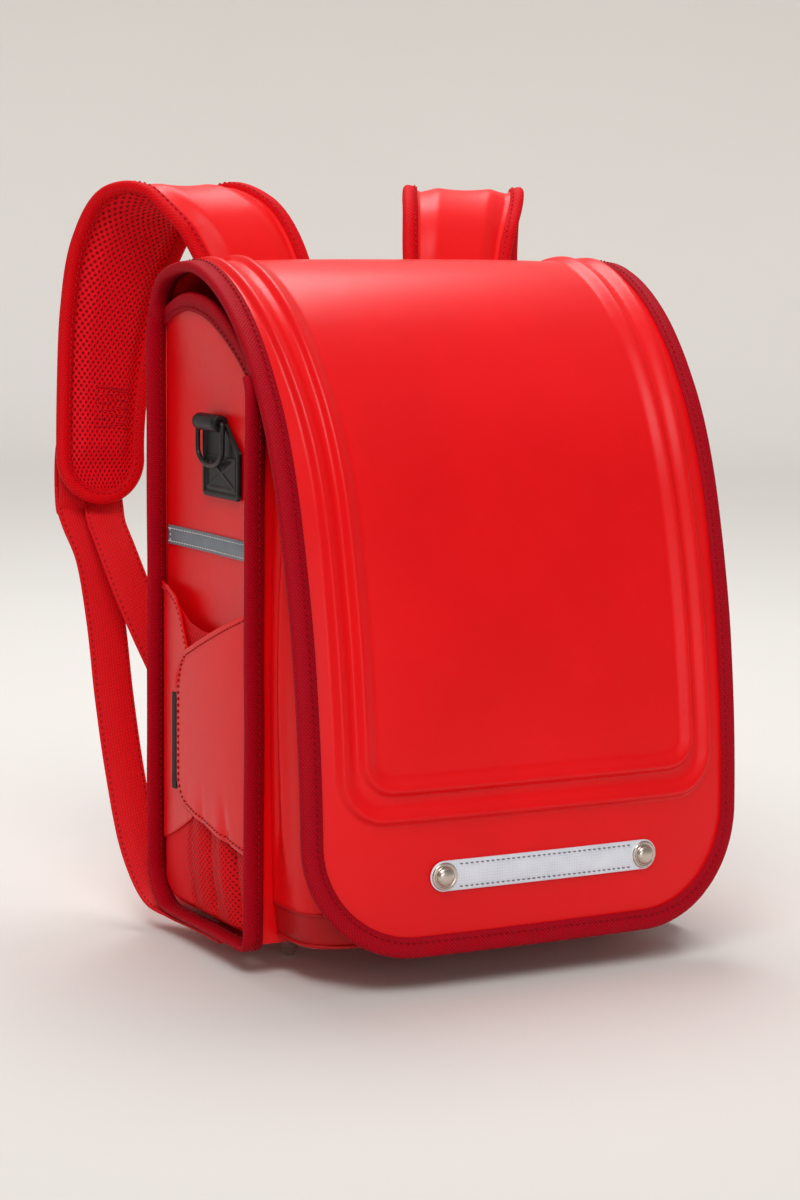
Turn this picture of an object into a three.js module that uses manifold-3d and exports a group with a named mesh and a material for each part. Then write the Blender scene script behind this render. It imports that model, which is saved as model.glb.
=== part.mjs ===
// Red school ransel backpack standing upright on four small feet, with its flap closed.
// Millimetres, +Z up, the front with the flap faces -Y, the side with the visible pocket is -X.
// Every piece is one closed body and keeps a small gap to the pieces beside it.
import * as THREE from 'three';
import Module from 'manifold-3d';

const wasm = await Module();
wasm.setup();

// The body is drawn with its back near Y = 0 and then moved so the whole part stands centred on the origin.
const CENTRE_SHIFT_Y = 53.73;
const GAP = 0.35;
const LEFT = -1;
const RIGHT = 1;

const group = new THREE.Group();
group.name = 'school_ransel';

// Small tools for building closed bodies
function clamp01(value) {
  return Math.min(1, Math.max(0, value));
}

function smooth(value) {
  const t = clamp01(value);
  return t * t * (3 - 2 * t);
}

function range(count) {
  return Array.from({ length: count }, (_, i) => i);
}

function lookUp(table, key, column, at) {
  // Straight line between the rows of a short table that rises in its key column.
  if (at <= table[0][key]) return table[0][column];
  for (const i of range(table.length - 1)) {
    const low = table[i];
    const high = table[i + 1];
    if (at <= high[key]) {
      const part = (at - low[key]) / (high[key] - low[key]);
      return low[column] + (high[column] - low[column]) * part;
    }
  }
  return table[table.length - 1][column];
}

function closedGeometry(points, faces) {
  // Faces are turned outward by the sign of the enclosed volume.
  let volume = 0;
  for (const [a, b, c] of faces) {
    volume += points[a].dot(new THREE.Vector3().crossVectors(points[b], points[c]));
  }
  const turned = volume < 0 ? faces.map(([a, b, c]) => [a, c, b]) : faces;
  const geometry = new THREE.BufferGeometry();
  const flat = points.flatMap((p) => [p.x, p.y, p.z]);
  geometry.setAttribute('position', new THREE.Float32BufferAttribute(flat, 3));
  geometry.setIndex(turned.flat());
  return geometry;
}

function sheet(rows, columns, outer, inner) {
  // A skin between two grids of points, closed along its four edges.
  const points = [];
  for (const at of [outer, inner]) {
    for (const i of range(rows + 1)) {
      for (const j of range(columns + 1)) {
        points.push(at(i / rows, j / columns));
      }
    }
  }
  const wide = columns + 1;
  const layer = (rows + 1) * wide;
  const faces = [];
  const quad = (a, b, c, d) => faces.push([a, b, c], [a, c, d]);
  for (const i of range(rows)) {
    for (const j of range(columns)) {
      const a = i * wide + j;
      quad(a, a + 1, a + wide + 1, a + wide);
      quad(layer + a, layer + a + wide, layer + a + wide + 1, layer + a + 1);
    }
  }
  for (const j of range(columns)) {
    const last = rows * wide + j;
    quad(j, layer + j, layer + j + 1, j + 1);
    quad(last, last + 1, layer + last + 1, layer + last);
  }
  for (const i of range(rows)) {
    const a = i * wide;
    const b = a + columns;
    quad(a, a + wide, layer + a + wide, layer + a);
    quad(b, layer + b, layer + b + wide, b + wide);
  }
  return closedGeometry(points, faces);
}

function sweep(stations, section, closed = false) {
  // Each station has an origin and two directions that carry the section's two columns.
  const turned = THREE.ShapeUtils.area(section.map(([p, q]) => new THREE.Vector2(p, q))) < 0;
  const ordered = turned ? [...section].reverse() : section;
  const points = [];
  for (const station of stations) {
    for (const [p, q] of ordered) {
      const point = station.origin.clone();
      point.addScaledVector(station.across, p);
      point.addScaledVector(station.out, q);
      points.push(point);
    }
  }
  const size = section.length;
  const faces = [];
  const loops = closed ? stations.length : stations.length - 1;
  for (const i of range(loops)) {
    const here = i * size;
    const next = ((i + 1) % stations.length) * size;
    for (const j of range(size)) {
      const k = (j + 1) % size;
      faces.push([here + j, next + j, next + k], [here + j, next + k, here + k]);
    }
  }
  if (!closed) {
    const outline = ordered.map(([p, q]) => new THREE.Vector2(p, q));
    const last = (stations.length - 1) * size;
    for (const [a, b, c] of THREE.ShapeUtils.triangulateShape(outline, [])) {
      faces.push([a, b, c], [last + a, last + c, last + b]);
    }
  }
  return closedGeometry(points, faces);
}

function joined(geometry) {
  // Equal corners of a three.js geometry become one, and triangles that collapse on an axis go.
  const position = geometry.getAttribute('position');
  const order = geometry.getIndex();
  const seen = new Map();
  const points = [];
  const corner = (i) => {
    const p = new THREE.Vector3().fromBufferAttribute(position, order.getX(i));
    const key = [p.x, p.y, p.z].map((n) => n.toFixed(4)).join(' ').replaceAll('-0.0000', '0.0000');
    if (!seen.has(key)) {
      seen.set(key, points.length);
      points.push(p);
    }
    return seen.get(key);
  };
  const faces = range(order.count / 3).map((i) => [corner(3 * i), corner(3 * i + 1), corner(3 * i + 2)]);
  return closedGeometry(points, faces.filter(([a, b, c]) => a !== b && b !== c && c !== a));
}

function lathe(profile, segments) {
  // Turned about +Z, its first and last rows lie on the axis.
  const outline = profile.map((row) => new THREE.Vector2(row.r, row.z));
  return joined(new THREE.LatheGeometry(outline, segments).rotateX(Math.PI / 2));
}

function toSolid(geometry) {
  const position = geometry.getAttribute('position');
  return new wasm.Manifold(new wasm.Mesh({
    numProp: 3,
    vertProperties: new Float32Array(position.array),
    triVerts: new Uint32Array(geometry.getIndex().array),
  }));
}

function fromSolid(solid) {
  const mesh = solid.getMesh();
  const geometry = new THREE.BufferGeometry();
  geometry.setAttribute('position', new THREE.Float32BufferAttribute(mesh.vertProperties, 3));
  geometry.setIndex(Array.from(mesh.triVerts));
  return geometry;
}

function curveThrough(table) {
  const points = table.map((row) => new THREE.Vector3(row.x ?? 0, row.y, row.z));
  const curve = new THREE.CatmullRomCurve3(points, false, 'centripetal');
  curve.arcLengthDivisions = 600;
  return curve;
}

function material(name, color, roughness, metalness = 0) {
  const made = new THREE.MeshStandardMaterial({ color, roughness, metalness });
  made.name = name;
  return made;
}

const MATERIALS = {
  leather: material('body_leather', 0xd01a20, 0.45),
  strapLeather: material('strap_leather', 0xe02a26, 0.42),
  tape: material('binding_tape', 0xa8051e, 0.8),
  strapTape: material('strap_binding_tape', 0xd20c1c, 0.8),
  airMesh: material('strap_air_mesh', 0xc00012, 0.9),
  pocketMesh: material('pocket_mesh', 0xb80f1a, 0.9),
  webbing: material('webbing', 0xd80e1e, 0.85),
  gusset: material('pocket_gusset_leather', 0xa01218, 0.55),
  sideReflector: material('side_reflective_tape', 0x6f7780, 0.5),
  flapReflector: material('flap_reflective_tape', 0xcdd3de, 0.4),
  nickel: material('nickel', 0xcfc5b8, 0.25, 1),
  blackLeather: material('black_tab', 0x2a2827, 0.5),
  blackMetal: material('black_ring_metal', 0x1c1c1e, 0.35, 1),
  blackElastic: material('black_elastic', 0x171516, 0.9),
  blackPlastic: material('black_buckle_plastic', 0x1b1b1c, 0.5),
};

function add(name, geometry, slot) {
  geometry.translate(0, CENTRE_SHIFT_Y, 0);
  geometry.computeVertexNormals();
  const mesh = new THREE.Mesh(geometry, MATERIALS[slot]);
  mesh.name = name;
  group.add(mesh);
}

function sideName(side) {
  return side === LEFT ? 'left' : 'right';
}

// Main compartment, its walls meet the side panels inside the seam flanges
const WALL = {
  halfWidth: 124.9,
  backOuterY: -1.2,
  backThickness: 5,
  backSwell: 0.7,
  backLowZ: 42.3,
  backTopZ: 336,
  frontY: -129.4,
  frontThickness: 2,
  frontTopZ: 303,
  bottomZ: 17.2,
  bottomThickness: 2.4,
  bottomInset: 3.1,
  backCornerRadius: 22,
};
// Panels that meet inside the body stop this far short of each other.
const PANEL_PLAY = 0.4;

function backPanelPoint(u, v, outward) {
  // The padded back swells a little towards the wearer between its edges.
  const x = (2 * v - 1) * WALL.halfWidth;
  const z = WALL.backLowZ + (WALL.backTopZ - WALL.backLowZ) * u;
  const swell = WALL.backSwell * Math.sin(Math.PI * v) * Math.sin(Math.PI * u);
  const y = outward ? WALL.backOuterY + swell : WALL.backOuterY - WALL.backThickness;
  return new THREE.Vector3(x, y, z);
}

add('back_panel', sheet(6, 6, (u, v) => backPanelPoint(u, v, true), (u, v) => backPanelPoint(u, v, false)),
  'leather');

function bottomPanelPoint(u, v, offset) {
  // From the back panel round its lower corner and then flat to the front.
  const radius = WALL.backCornerRadius;
  const centreY = WALL.backOuterY - WALL.backThickness / 2 - radius;
  const centreZ = WALL.bottomZ + WALL.bottomThickness / 2 + radius;
  const endY = WALL.frontY + WALL.frontThickness / 2 + PANEL_PLAY;
  const turned = Math.min(2 * u, 1) * Math.PI / 2;
  const flat = Math.max(0, 2 * u - 1);
  const reach = radius + offset;
  const arcY = centreY + reach * Math.cos(turned);
  const arcZ = centreZ - reach * Math.sin(turned);
  const y = arcY + (endY - centreY) * flat;
  return new THREE.Vector3((2 * v - 1) * (WALL.halfWidth - WALL.bottomInset), y, arcZ);
}

add('bottom_panel', sheet(10, 1, (u, v) => bottomPanelPoint(u, v, WALL.bottomThickness / 2),
  (u, v) => bottomPanelPoint(u, v, -WALL.bottomThickness / 2)), 'leather');

function frontPanelPoint(u, v, offset) {
  const x = (2 * v - 1) * WALL.halfWidth;
  const z = WALL.bottomZ + (WALL.frontTopZ - WALL.bottomZ) * u;
  return new THREE.Vector3(x, WALL.frontY + offset, z);
}

add('front_panel', sheet(1, 1, (u, v) => frontPanelPoint(u, v, -WALL.frontThickness / 2),
  (u, v) => frontPanelPoint(u, v, WALL.frontThickness / 2)), 'leather');

// Side panels, set back between the flanges and opening out a little at the rim
const RIM = [
  { y: -127.4, z: 307 },
  { y: -119, z: 318.5 },
  { y: -109, z: 328.5 },
  { y: -98, z: 337.5 },
  { y: -86, z: 345 },
  { y: -74, z: 350.5 },
  { y: -60, z: 353.5 },
  { y: -44, z: 354.5 },
  { y: -30, z: 352.5 },
  { y: -19, z: 348.5 },
  { y: -8, z: 342 },
];
const SIDE = {
  thickness: 1.8,
  backPlay: 0.6,
  frontPlay: 0.5,
  cornerRadius: 22,
  cornerInset: 2,
  floorLift: 1.6,
  dish: 1.6,
  dishZ: 40,
  dishRise: 60,
  flare: 4.5,
  flareZ: 297,
  flareRise: 50,
  dishFade: 40,
  rimDrop: 1.6,
  rows: 6,
  columns: 9,
};
SIDE.x = WALL.halfWidth - SIDE.thickness / 2;
SIDE.backY = WALL.backOuterY - WALL.backThickness - SIDE.backPlay;
SIDE.frontY = WALL.frontY + WALL.frontThickness / 2 + SIDE.frontPlay;

function sidePanelX(y, z) {
  const across = (y - SIDE.frontY) / (SIDE.backY - SIDE.frontY);
  const arch = Math.sin(Math.PI * clamp01(across));
  const dish = SIDE.dish * arch * smooth((z - SIDE.dishZ) / SIDE.dishRise);
  const flare = SIDE.flare * arch ** 0.6 * smooth((z - SIDE.flareZ) / SIDE.flareRise);
  return SIDE.x - dish * (1 - smooth((z - SIDE.flareZ) / SIDE.dishFade)) + flare;
}

function sideBottomZ(y) {
  // The lower edge is straight and turns up round the back corner, inside the bottom panel.
  const centreY = WALL.backOuterY - WALL.backThickness / 2 - SIDE.cornerRadius;
  const inCorner = y - centreY;
  const flatZ = WALL.bottomZ + SIDE.floorLift;
  if (inCorner <= 0) return flatZ;
  const reach = SIDE.cornerRadius - SIDE.cornerInset;
  return flatZ + reach - Math.sqrt(Math.max(0, reach * reach - inCorner * inCorner));
}

function sidePanelPoint(side, u, v, offset) {
  const y = SIDE.frontY + (SIDE.backY - SIDE.frontY) * v;
  const low = sideBottomZ(y);
  const z = low + (lookUp(RIM, 'y', 'z', y) - SIDE.rimDrop - low) * u;
  return new THREE.Vector3(side * (sidePanelX(y, z) + offset), y, z);
}

for (const side of [LEFT, RIGHT]) {
  add('side_panel_' + sideName(side), sheet(SIDE.rows, SIDE.columns,
    (u, v) => sidePanelPoint(side, u, v, SIDE.thickness / 2),
    (u, v) => sidePanelPoint(side, u, v, -SIDE.thickness / 2)), 'leather');
}

// Seam flanges, taped fins that run down the back, along the bottom and up the front of each side panel
const FLANGE = {
  clear: 0.45,
  depth: 10.65,
  thickness: 3.2,
  chamferX: 1.2,
  chamferY: 1.1,
  backInset: 3.4,
  frontOffset: 1,
  drop: 2.6,
  backRadius: 24,
  backTurns: 6,
  frontRadius: 6,
  frontTurns: 3,
  middleZ: 200,
  backTopZ: 334,
  frontTopZ: 303,
};
FLANGE.innerX = WALL.halfWidth + FLANGE.clear;
FLANGE.backY = WALL.backOuterY - FLANGE.backInset;
FLANGE.frontY = WALL.frontY - FLANGE.frontOffset;
FLANGE.bottomZ = WALL.bottomZ - FLANGE.drop;

function flangePath() {
  const points = [];
  const push = (y, z, outY, outZ) => points.push({ y, z, outY, outZ });
  push(FLANGE.backY, FLANGE.backTopZ, 1, 0);
  push(FLANGE.backY, FLANGE.middleZ, 1, 0);
  for (const i of range(FLANGE.backTurns + 1)) {
    const turned = (i / FLANGE.backTurns) * Math.PI / 2;
    const c = Math.cos(turned);
    const s = Math.sin(turned);
    push(FLANGE.backY - FLANGE.backRadius * (1 - c), FLANGE.bottomZ + FLANGE.backRadius * (1 - s), c, -s);
  }
  for (const i of range(FLANGE.frontTurns + 1)) {
    const turned = (i / FLANGE.frontTurns) * Math.PI / 2;
    const c = Math.cos(turned);
    const s = Math.sin(turned);
    push(FLANGE.frontY + FLANGE.frontRadius * (1 - s), FLANGE.bottomZ + FLANGE.frontRadius * (1 - c), -s, -c);
  }
  push(FLANGE.frontY, FLANGE.middleZ, -1, 0);
  push(FLANGE.frontY, FLANGE.frontTopZ, -1, 0);
  return points;
}

const flangeHalf = FLANGE.thickness / 2;
const FLANGE_SECTION = [
  [0, -flangeHalf],
  [FLANGE.depth - FLANGE.chamferX, -flangeHalf],
  [FLANGE.depth, -flangeHalf + FLANGE.chamferY],
  [FLANGE.depth, flangeHalf - FLANGE.chamferY],
  [FLANGE.depth - FLANGE.chamferX, flangeHalf],
  [0, flangeHalf],
];

for (const side of [LEFT, RIGHT]) {
  const stations = flangePath().map((p) => ({
    origin: new THREE.Vector3(side * FLANGE.innerX, p.y, p.z),
    across: new THREE.Vector3(side, 0, 0),
    out: new THREE.Vector3(0, p.outY, p.outZ),
  }));
  add('seam_flange_' + sideName(side), sweep(stations, FLANGE_SECTION), 'tape');
}

// Binding tapes have one hooked section that wraps the edge of a skin from both faces
function hookSection(innerHalf, tape, cover, clear = GAP) {
  const outerHalf = innerHalf + tape;
  return [
    [-cover, innerHalf],
    [-cover, outerHalf],
    [clear + tape, outerHalf],
    [clear + tape, -outerHalf],
    [-cover, -outerHalf],
    [-cover, -innerHalf],
    [clear, -innerHalf],
    [clear, innerHalf],
  ];
}

// Rim bindings along the top edge of each side panel, on the panel's own columns
const RIM_TAPE = { play: 0.6, thickness: 1, cover: 8.2 };
for (const side of [LEFT, RIGHT]) {
  const at = range(SIDE.columns + 1).map((j) => sidePanelPoint(side, 1, j / SIDE.columns, 0));
  const stations = at.map((origin, j) => {
    const along = at[Math.min(j + 1, at.length - 1)].clone().sub(at[Math.max(j - 1, 0)]).normalize();
    const below = sidePanelPoint(side, 1 - 1 / SIDE.rows, j / SIDE.columns, 0);
    const across = origin.clone().sub(below);
    across.addScaledVector(along, -across.dot(along)).normalize();
    const out = new THREE.Vector3().crossVectors(along, across).normalize();
    return { origin, across, out };
  });
  const section = hookSection(SIDE.thickness / 2 + RIM_TAPE.play, RIM_TAPE.thickness, RIM_TAPE.cover);
  add('rim_binding_' + sideName(side), sweep(stations, section), 'tape');
}

// Flap, one skin from the top of the back over the crest and down the front
const FLAP_PROFILE = [
  { y: -3, z: 337.6 },
  { y: -5.5, z: 350 },
  { y: -14, z: 360.5 },
  { y: -33, z: 366.5 },
  { y: -55, z: 367.5 },
  { y: -75, z: 362 },
  { y: -93, z: 352.5 },
  { y: -110, z: 339 },
  { y: -124, z: 323.5 },
  { y: -135, z: 308 },
  { y: -143.5, z: 294 },
  { y: -151.5, z: 277 },
  { y: -159.5, z: 255 },
  { y: -166.5, z: 230 },
  { y: -172.5, z: 205 },
  { y: -177.5, z: 180 },
  { y: -181.5, z: 152 },
  { y: -184.5, z: 125 },
  { y: -186.5, z: 95 },
  { y: -187.5, z: 60 },
  { y: -187.5, z: 20.5 },
];
const FLAP = {
  topHalf: 132.5,
  lowHalf: 129,
  cornerRadius: 60,
  thickness: 2.4,
  bowTop: 3,
  bowFront: 9.5,
  ease: 3.4,
  crestEnd: 0.36,
  crestRows: 10,
  frontRows: 5,
  cornerRows: 7,
  columns: 8,
};
const flapCurve = curveThrough(FLAP_PROFILE);
const flapLength = flapCurve.getLength();

function flapStraightHalf(s) {
  return FLAP.topHalf + (FLAP.lowHalf - FLAP.topHalf) * s;
}

function flapHalfWidth(s) {
  const straight = flapStraightHalf(s);
  const past = s * flapLength - (flapLength - FLAP.cornerRadius);
  if (past <= 0) return straight;
  const r = FLAP.cornerRadius;
  return straight - r + Math.sqrt(Math.max(0, r * r - past * past));
}

function flapPoint(x, s, offset) {
  // The skin bows outward between its side edges, more on the front than over the crest.
  const at = flapCurve.getPointAt(clamp01(s));
  const along = flapCurve.getTangentAt(clamp01(s));
  const overCrest = smooth((s - 0.2) / 0.35);
  const bow = FLAP.bowTop + (FLAP.bowFront - FLAP.bowTop) * overCrest;
  const start = smooth(s / 0.06);
  const lift = bow * start * (1 - Math.abs(x / flapStraightHalf(s)) ** FLAP.ease);
  const outY = along.z;
  const outZ = -along.y;
  const reach = lift + offset;
  return new THREE.Vector3(x, at.y + outY * reach, at.z + outZ * reach);
}

function flapNormal(x, s) {
  const alongX = flapPoint(x + 0.5, s, 0).sub(flapPoint(x - 0.5, s, 0));
  const alongS = flapPoint(x, Math.min(1, s + 0.001), 0).sub(flapPoint(x, Math.max(0, s - 0.001), 0));
  return alongX.cross(alongS).normalize().negate();
}

const lastStraight = 1 - FLAP.cornerRadius / flapLength;
// Rows stand closer together over the crest and round the lower corners
const FLAP_ROWS = [
  ...range(FLAP.crestRows).map((i) => FLAP.crestEnd * (i / FLAP.crestRows)),
  ...range(FLAP.frontRows).map((i) => FLAP.crestEnd + (lastStraight - FLAP.crestEnd) * (i / FLAP.frontRows)),
  ...range(FLAP.cornerRows).map((i) => {
    const turned = (i / (FLAP.cornerRows - 1)) * Math.PI / 2;
    return lastStraight + (1 - lastStraight) * Math.sin(turned);
  }),
];

function flapSheetPoint(u, v, offset) {
  const s = FLAP_ROWS[Math.round(u * (FLAP_ROWS.length - 1))];
  const spread = Math.sin((v - 0.5) * Math.PI);
  const even = 2 * v - 1;
  const x = flapHalfWidth(s) * (0.55 * even + 0.45 * spread);
  return flapPoint(x, s, offset);
}

// Two ribs, each a rounded U that runs down both sides and across above the hem
const RIB_START = 27;
const RIB_STEPS = 9;
const OUTER_RIB = { halfTop: 117, halfLow: 109.5, turnRadius: 22, endZ: 92 };
const INNER_RIB = { halfTop: 101.5, halfLow: 97.5, turnRadius: 15, endZ: 106.5 };

function ribPath({ halfTop, halfLow, turnRadius, endZ }) {
  const path = [];
  const endS = findFlapS(endZ);
  const startS = RIB_START / flapLength;
  const turn = turnRadius / flapLength;
  const width = (s) => halfTop + (halfLow - halfTop) * smooth((s - 0.15) / 0.35);
  const down = range(RIB_STEPS + 1).map((i) => startS + (endS - turn - startS) * (i / RIB_STEPS));
  for (const s of down) path.push({ x: -width(s), s });
  for (const i of [1, 2, 3]) {
    const turned = (i / 4) * Math.PI / 2;
    path.push({ x: -halfLow + turnRadius * (1 - Math.cos(turned)), s: endS - turn * (1 - Math.sin(turned)) });
  }
  for (const i of range(4)) {
    path.push({ x: (-1 + i / 1.5) * (halfLow - turnRadius), s: endS });
  }
  for (const i of [3, 2, 1]) {
    const turned = (i / 4) * Math.PI / 2;
    path.push({ x: halfLow - turnRadius * (1 - Math.cos(turned)), s: endS - turn * (1 - Math.sin(turned)) });
  }
  for (const s of down.reverse()) path.push({ x: width(s), s });
  return path;
}

function findFlapS(z) {
  // Halving search on the falling front part of the profile.
  let low = 0.3;
  let high = 1;
  while (high - low > 1e-9) {
    const middle = (low + high) / 2;
    if (flapCurve.getPointAt(middle).z > z) low = middle;
    else high = middle;
  }
  return high;
}

function alongFlap(path) {
  // Stations on the flap's surface: across lies in the surface and out stands on it.
  return path.map((p, i) => {
    const before = path[Math.max(0, i - 1)];
    const after = path[Math.min(path.length - 1, i + 1)];
    const origin = flapPoint(p.x, p.s, 0);
    const out = flapNormal(p.x, p.s);
    const along = flapPoint(after.x, after.s, 0).sub(flapPoint(before.x, before.s, 0)).normalize();
    const across = new THREE.Vector3().crossVectors(along, out).normalize();
    return { origin, across, out };
  });
}

const RIB = { footHalf: 4.6, crownHalf: 2.6, sunk: 0.5, height: 4.1 };
const RIB_SECTION = [
  [-RIB.footHalf, -RIB.sunk],
  [RIB.footHalf, -RIB.sunk],
  [RIB.crownHalf, RIB.height],
  [-RIB.crownHalf, RIB.height],
];
const flapSkin = sheet(FLAP_ROWS.length - 1, FLAP.columns, (u, v) => flapSheetPoint(u, v, FLAP.thickness / 2),
  (u, v) => flapSheetPoint(u, v, -FLAP.thickness / 2));
const outerRib = sweep(alongFlap(ribPath(OUTER_RIB)), RIB_SECTION);
const innerRib = sweep(alongFlap(ribPath(INNER_RIB)), RIB_SECTION);
add('flap', fromSolid(toSolid(flapSkin).add(toSolid(outerRib)).add(toSolid(innerRib))), 'leather');

function flapEdgePath() {
  // The tape stands on the same rows as the skin, so the two keep one gap all along.
  const left = FLAP_ROWS.slice(1).map((s) => ({ x: -flapHalfWidth(s), s }));
  const flatHalf = FLAP.lowHalf - FLAP.cornerRadius;
  const bottom = [-0.5, 0, 0.5].map((part) => ({ x: part * flatHalf, s: 1 }));
  const right = left.map((p) => ({ x: -p.x, s: p.s })).reverse();
  return left.concat(bottom, right);
}

const FLAP_TAPE = { play: 0.68, thickness: 1.1, cover: 9.5 };
const flapTapeMouth = FLAP.thickness / 2 + FLAP_TAPE.play;
const flapTapeSection = hookSection(flapTapeMouth, FLAP_TAPE.thickness, FLAP_TAPE.cover);
add('flap_binding', sweep(alongFlap(flapEdgePath()), flapTapeSection), 'tape');

// Reflective strip low on the flap, held by a domed rivet at each end
const STRIP = { centreX: 5.5, halfLength: 60.5, lowZ: 52.5, highZ: 68.5, thickness: 1.1, columns: 8 };
const surface = FLAP.thickness / 2 + GAP;
const stripLowS = findFlapS(STRIP.lowZ);
const stripHighS = findFlapS(STRIP.highZ);

function stripPoint(u, v, offset) {
  const x = STRIP.centreX + (2 * v - 1) * STRIP.halfLength;
  return flapPoint(x, stripHighS + (stripLowS - stripHighS) * u, offset);
}

add('flap_reflective_strip', sheet(1, STRIP.columns, (u, v) => stripPoint(u, v, surface + STRIP.thickness),
  (u, v) => stripPoint(u, v, surface)), 'flapReflector');

const RIVET = [
  { r: 0, z: 0 },
  { r: 8.2, z: 0 },
  { r: 8.2, z: 0.9 },
  { r: 7.2, z: 1.7 },
  { r: 5.8, z: 1.5 },
  { r: 4.6, z: 2.7 },
  { r: 2.4, z: 3.4 },
  { r: 0, z: 3.6 },
];
const RIVET_SIDES = 10;
const RIVET_PLAY = 0.5;
const rivetS = findFlapS((STRIP.lowZ + STRIP.highZ) / 2);
for (const side of [LEFT, RIGHT]) {
  const x = STRIP.centreX + side * STRIP.halfLength;
  const seat = flapPoint(x, rivetS, surface + STRIP.thickness + RIVET_PLAY);
  const out = flapNormal(x, rivetS);
  const rivet = lathe(RIVET, RIVET_SIDES);
  rivet.applyQuaternion(new THREE.Quaternion().setFromUnitVectors(new THREE.Vector3(0, 0, 1), out));
  rivet.translate(seat.x, seat.y, seat.z);
  add('flap_rivet_' + sideName(side), rivet, 'nickel');
}

// Front pocket, an open-topped shell behind the flap, and the darker tray sewn round its foot
const POCKET_FRONT = [
  { z: 18, y: -177 },
  { z: 60, y: -178.5 },
  { z: 95, y: -177.5 },
  { z: 150, y: -171.5 },
  { z: 200, y: -162.5 },
  { z: 262, y: -147 },
];
const POCKET = {
  half: 118.5,
  seamZ: 39,
  topZ: 262,
  thickness: 2,
  squareness: 0.36,
  cornerPull: 0.17,
  swell: 3,
  swellZ: 20,
  swellRise: 260,
  clear: 0.95,
  rows: 5,
  columns: 16,
};
POCKET.backY = WALL.frontY - WALL.frontThickness / 2 - POCKET.clear;
POCKET.originY = POCKET.backY + GAP;

function pocketOutline(angle, half, depth) {
  const c = Math.cos(angle);
  const s = Math.sin(angle);
  const x = half * Math.sign(c) * Math.abs(c) ** POCKET.squareness;
  const y = POCKET.backY - depth * Math.abs(s) ** POCKET.squareness;
  return { x, y };
}

function pocketAngle(v) {
  const even = 2 * v - 1;
  const bent = even + POCKET.cornerPull * Math.sin(2 * Math.PI * even);
  return Math.PI / 2 * (1 - bent);
}

function pocketPoint(u, v, inset) {
  const lowZ = POCKET.seamZ + PANEL_PLAY;
  const z = lowZ + (POCKET.topZ - lowZ) * u;
  const depth = POCKET.originY - lookUp(POCKET_FRONT, 'z', 'y', z);
  const swell = POCKET.swell * Math.sin(Math.PI * clamp01((z - POCKET.swellZ) / POCKET.swellRise));
  const at = pocketOutline(pocketAngle(v), POCKET.half + swell - inset, depth - inset);
  return new THREE.Vector3(at.x, at.y, z);
}

add('front_pocket', sheet(POCKET.rows, POCKET.columns, (u, v) => pocketPoint(u, v, 0),
  (u, v) => pocketPoint(u, v, POCKET.thickness)), 'leather');

const TRAY = { floorZ: 18, thickness: 2, draft: 2, floorLift: 0.4, floorThickness: 1.8, fanDepth: 20 };

function trayPoint(u, v, inset) {
  const z = POCKET.seamZ + (TRAY.floorZ - POCKET.seamZ) * u;
  const depth = POCKET.originY - lookUp(POCKET_FRONT, 'z', 'y', z) - TRAY.draft * u;
  const at = pocketOutline(pocketAngle(v), POCKET.half - TRAY.draft * u - inset, depth - inset);
  return new THREE.Vector3(at.x, at.y, z);
}

const trayWall = sheet(1, POCKET.columns, (u, v) => trayPoint(u, v, 0),
  (u, v) => trayPoint(u, v, TRAY.thickness));

function fanPrism(outline, centre, lowZ, highZ) {
  // An upright plate whose outline is seen whole from its centre.
  const count = outline.length;
  const points = [];
  for (const z of [lowZ, highZ]) {
    for (const p of outline) points.push(new THREE.Vector3(p.x, p.y, z));
    points.push(new THREE.Vector3(centre.x, centre.y, z));
  }
  const faces = [];
  for (const j of range(count)) {
    const k = (j + 1) % count;
    const top = count + 1;
    faces.push([count, k, j], [top + count, top + j, top + k]);
    faces.push([j, k, top + k], [j, top + k, top + j]);
  }
  return closedGeometry(points, faces);
}

const floorOutline = range(POCKET.columns + 1).map((j) => {
  return trayPoint(1, j / POCKET.columns, TRAY.thickness / 2);
});
const floorLowZ = TRAY.floorZ + TRAY.floorLift;
const fanCentre = { x: 0, y: POCKET.backY - TRAY.fanDepth };
const trayFloor = fanPrism(floorOutline, fanCentre, floorLowZ, floorLowZ + TRAY.floorThickness);
add('front_pocket_gusset', fromSolid(toSolid(trayWall).add(toSolid(trayFloor))), 'gusset');

// Side details on both sides: grey reflective strip, ring tab and ring
const SIDE_SKIN = SIDE.thickness / 2;
const SIDE_STRIP = { backInset: 3.7, frontInset: 1.4, lowZ: 216, height: 10.5, thickness: 1, columns: 8 };

function sideStripPoint(side, u, v, offset) {
  const backY = SIDE.backY - SIDE_STRIP.backInset;
  const frontY = SIDE.frontY + SIDE_STRIP.frontInset;
  const y = backY + (frontY - backY) * v;
  const z = SIDE_STRIP.lowZ + SIDE_STRIP.height * u;
  return new THREE.Vector3(side * (sidePanelX(y, z) + SIDE_SKIN + GAP + offset), y, z);
}

for (const side of [LEFT, RIGHT]) {
  add('side_reflective_strip_' + sideName(side), sheet(1, SIDE_STRIP.columns,
    (u, v) => sideStripPoint(side, u, v, SIDE_STRIP.thickness),
    (u, v) => sideStripPoint(side, u, v, 0)), 'sideReflector');
}

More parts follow.
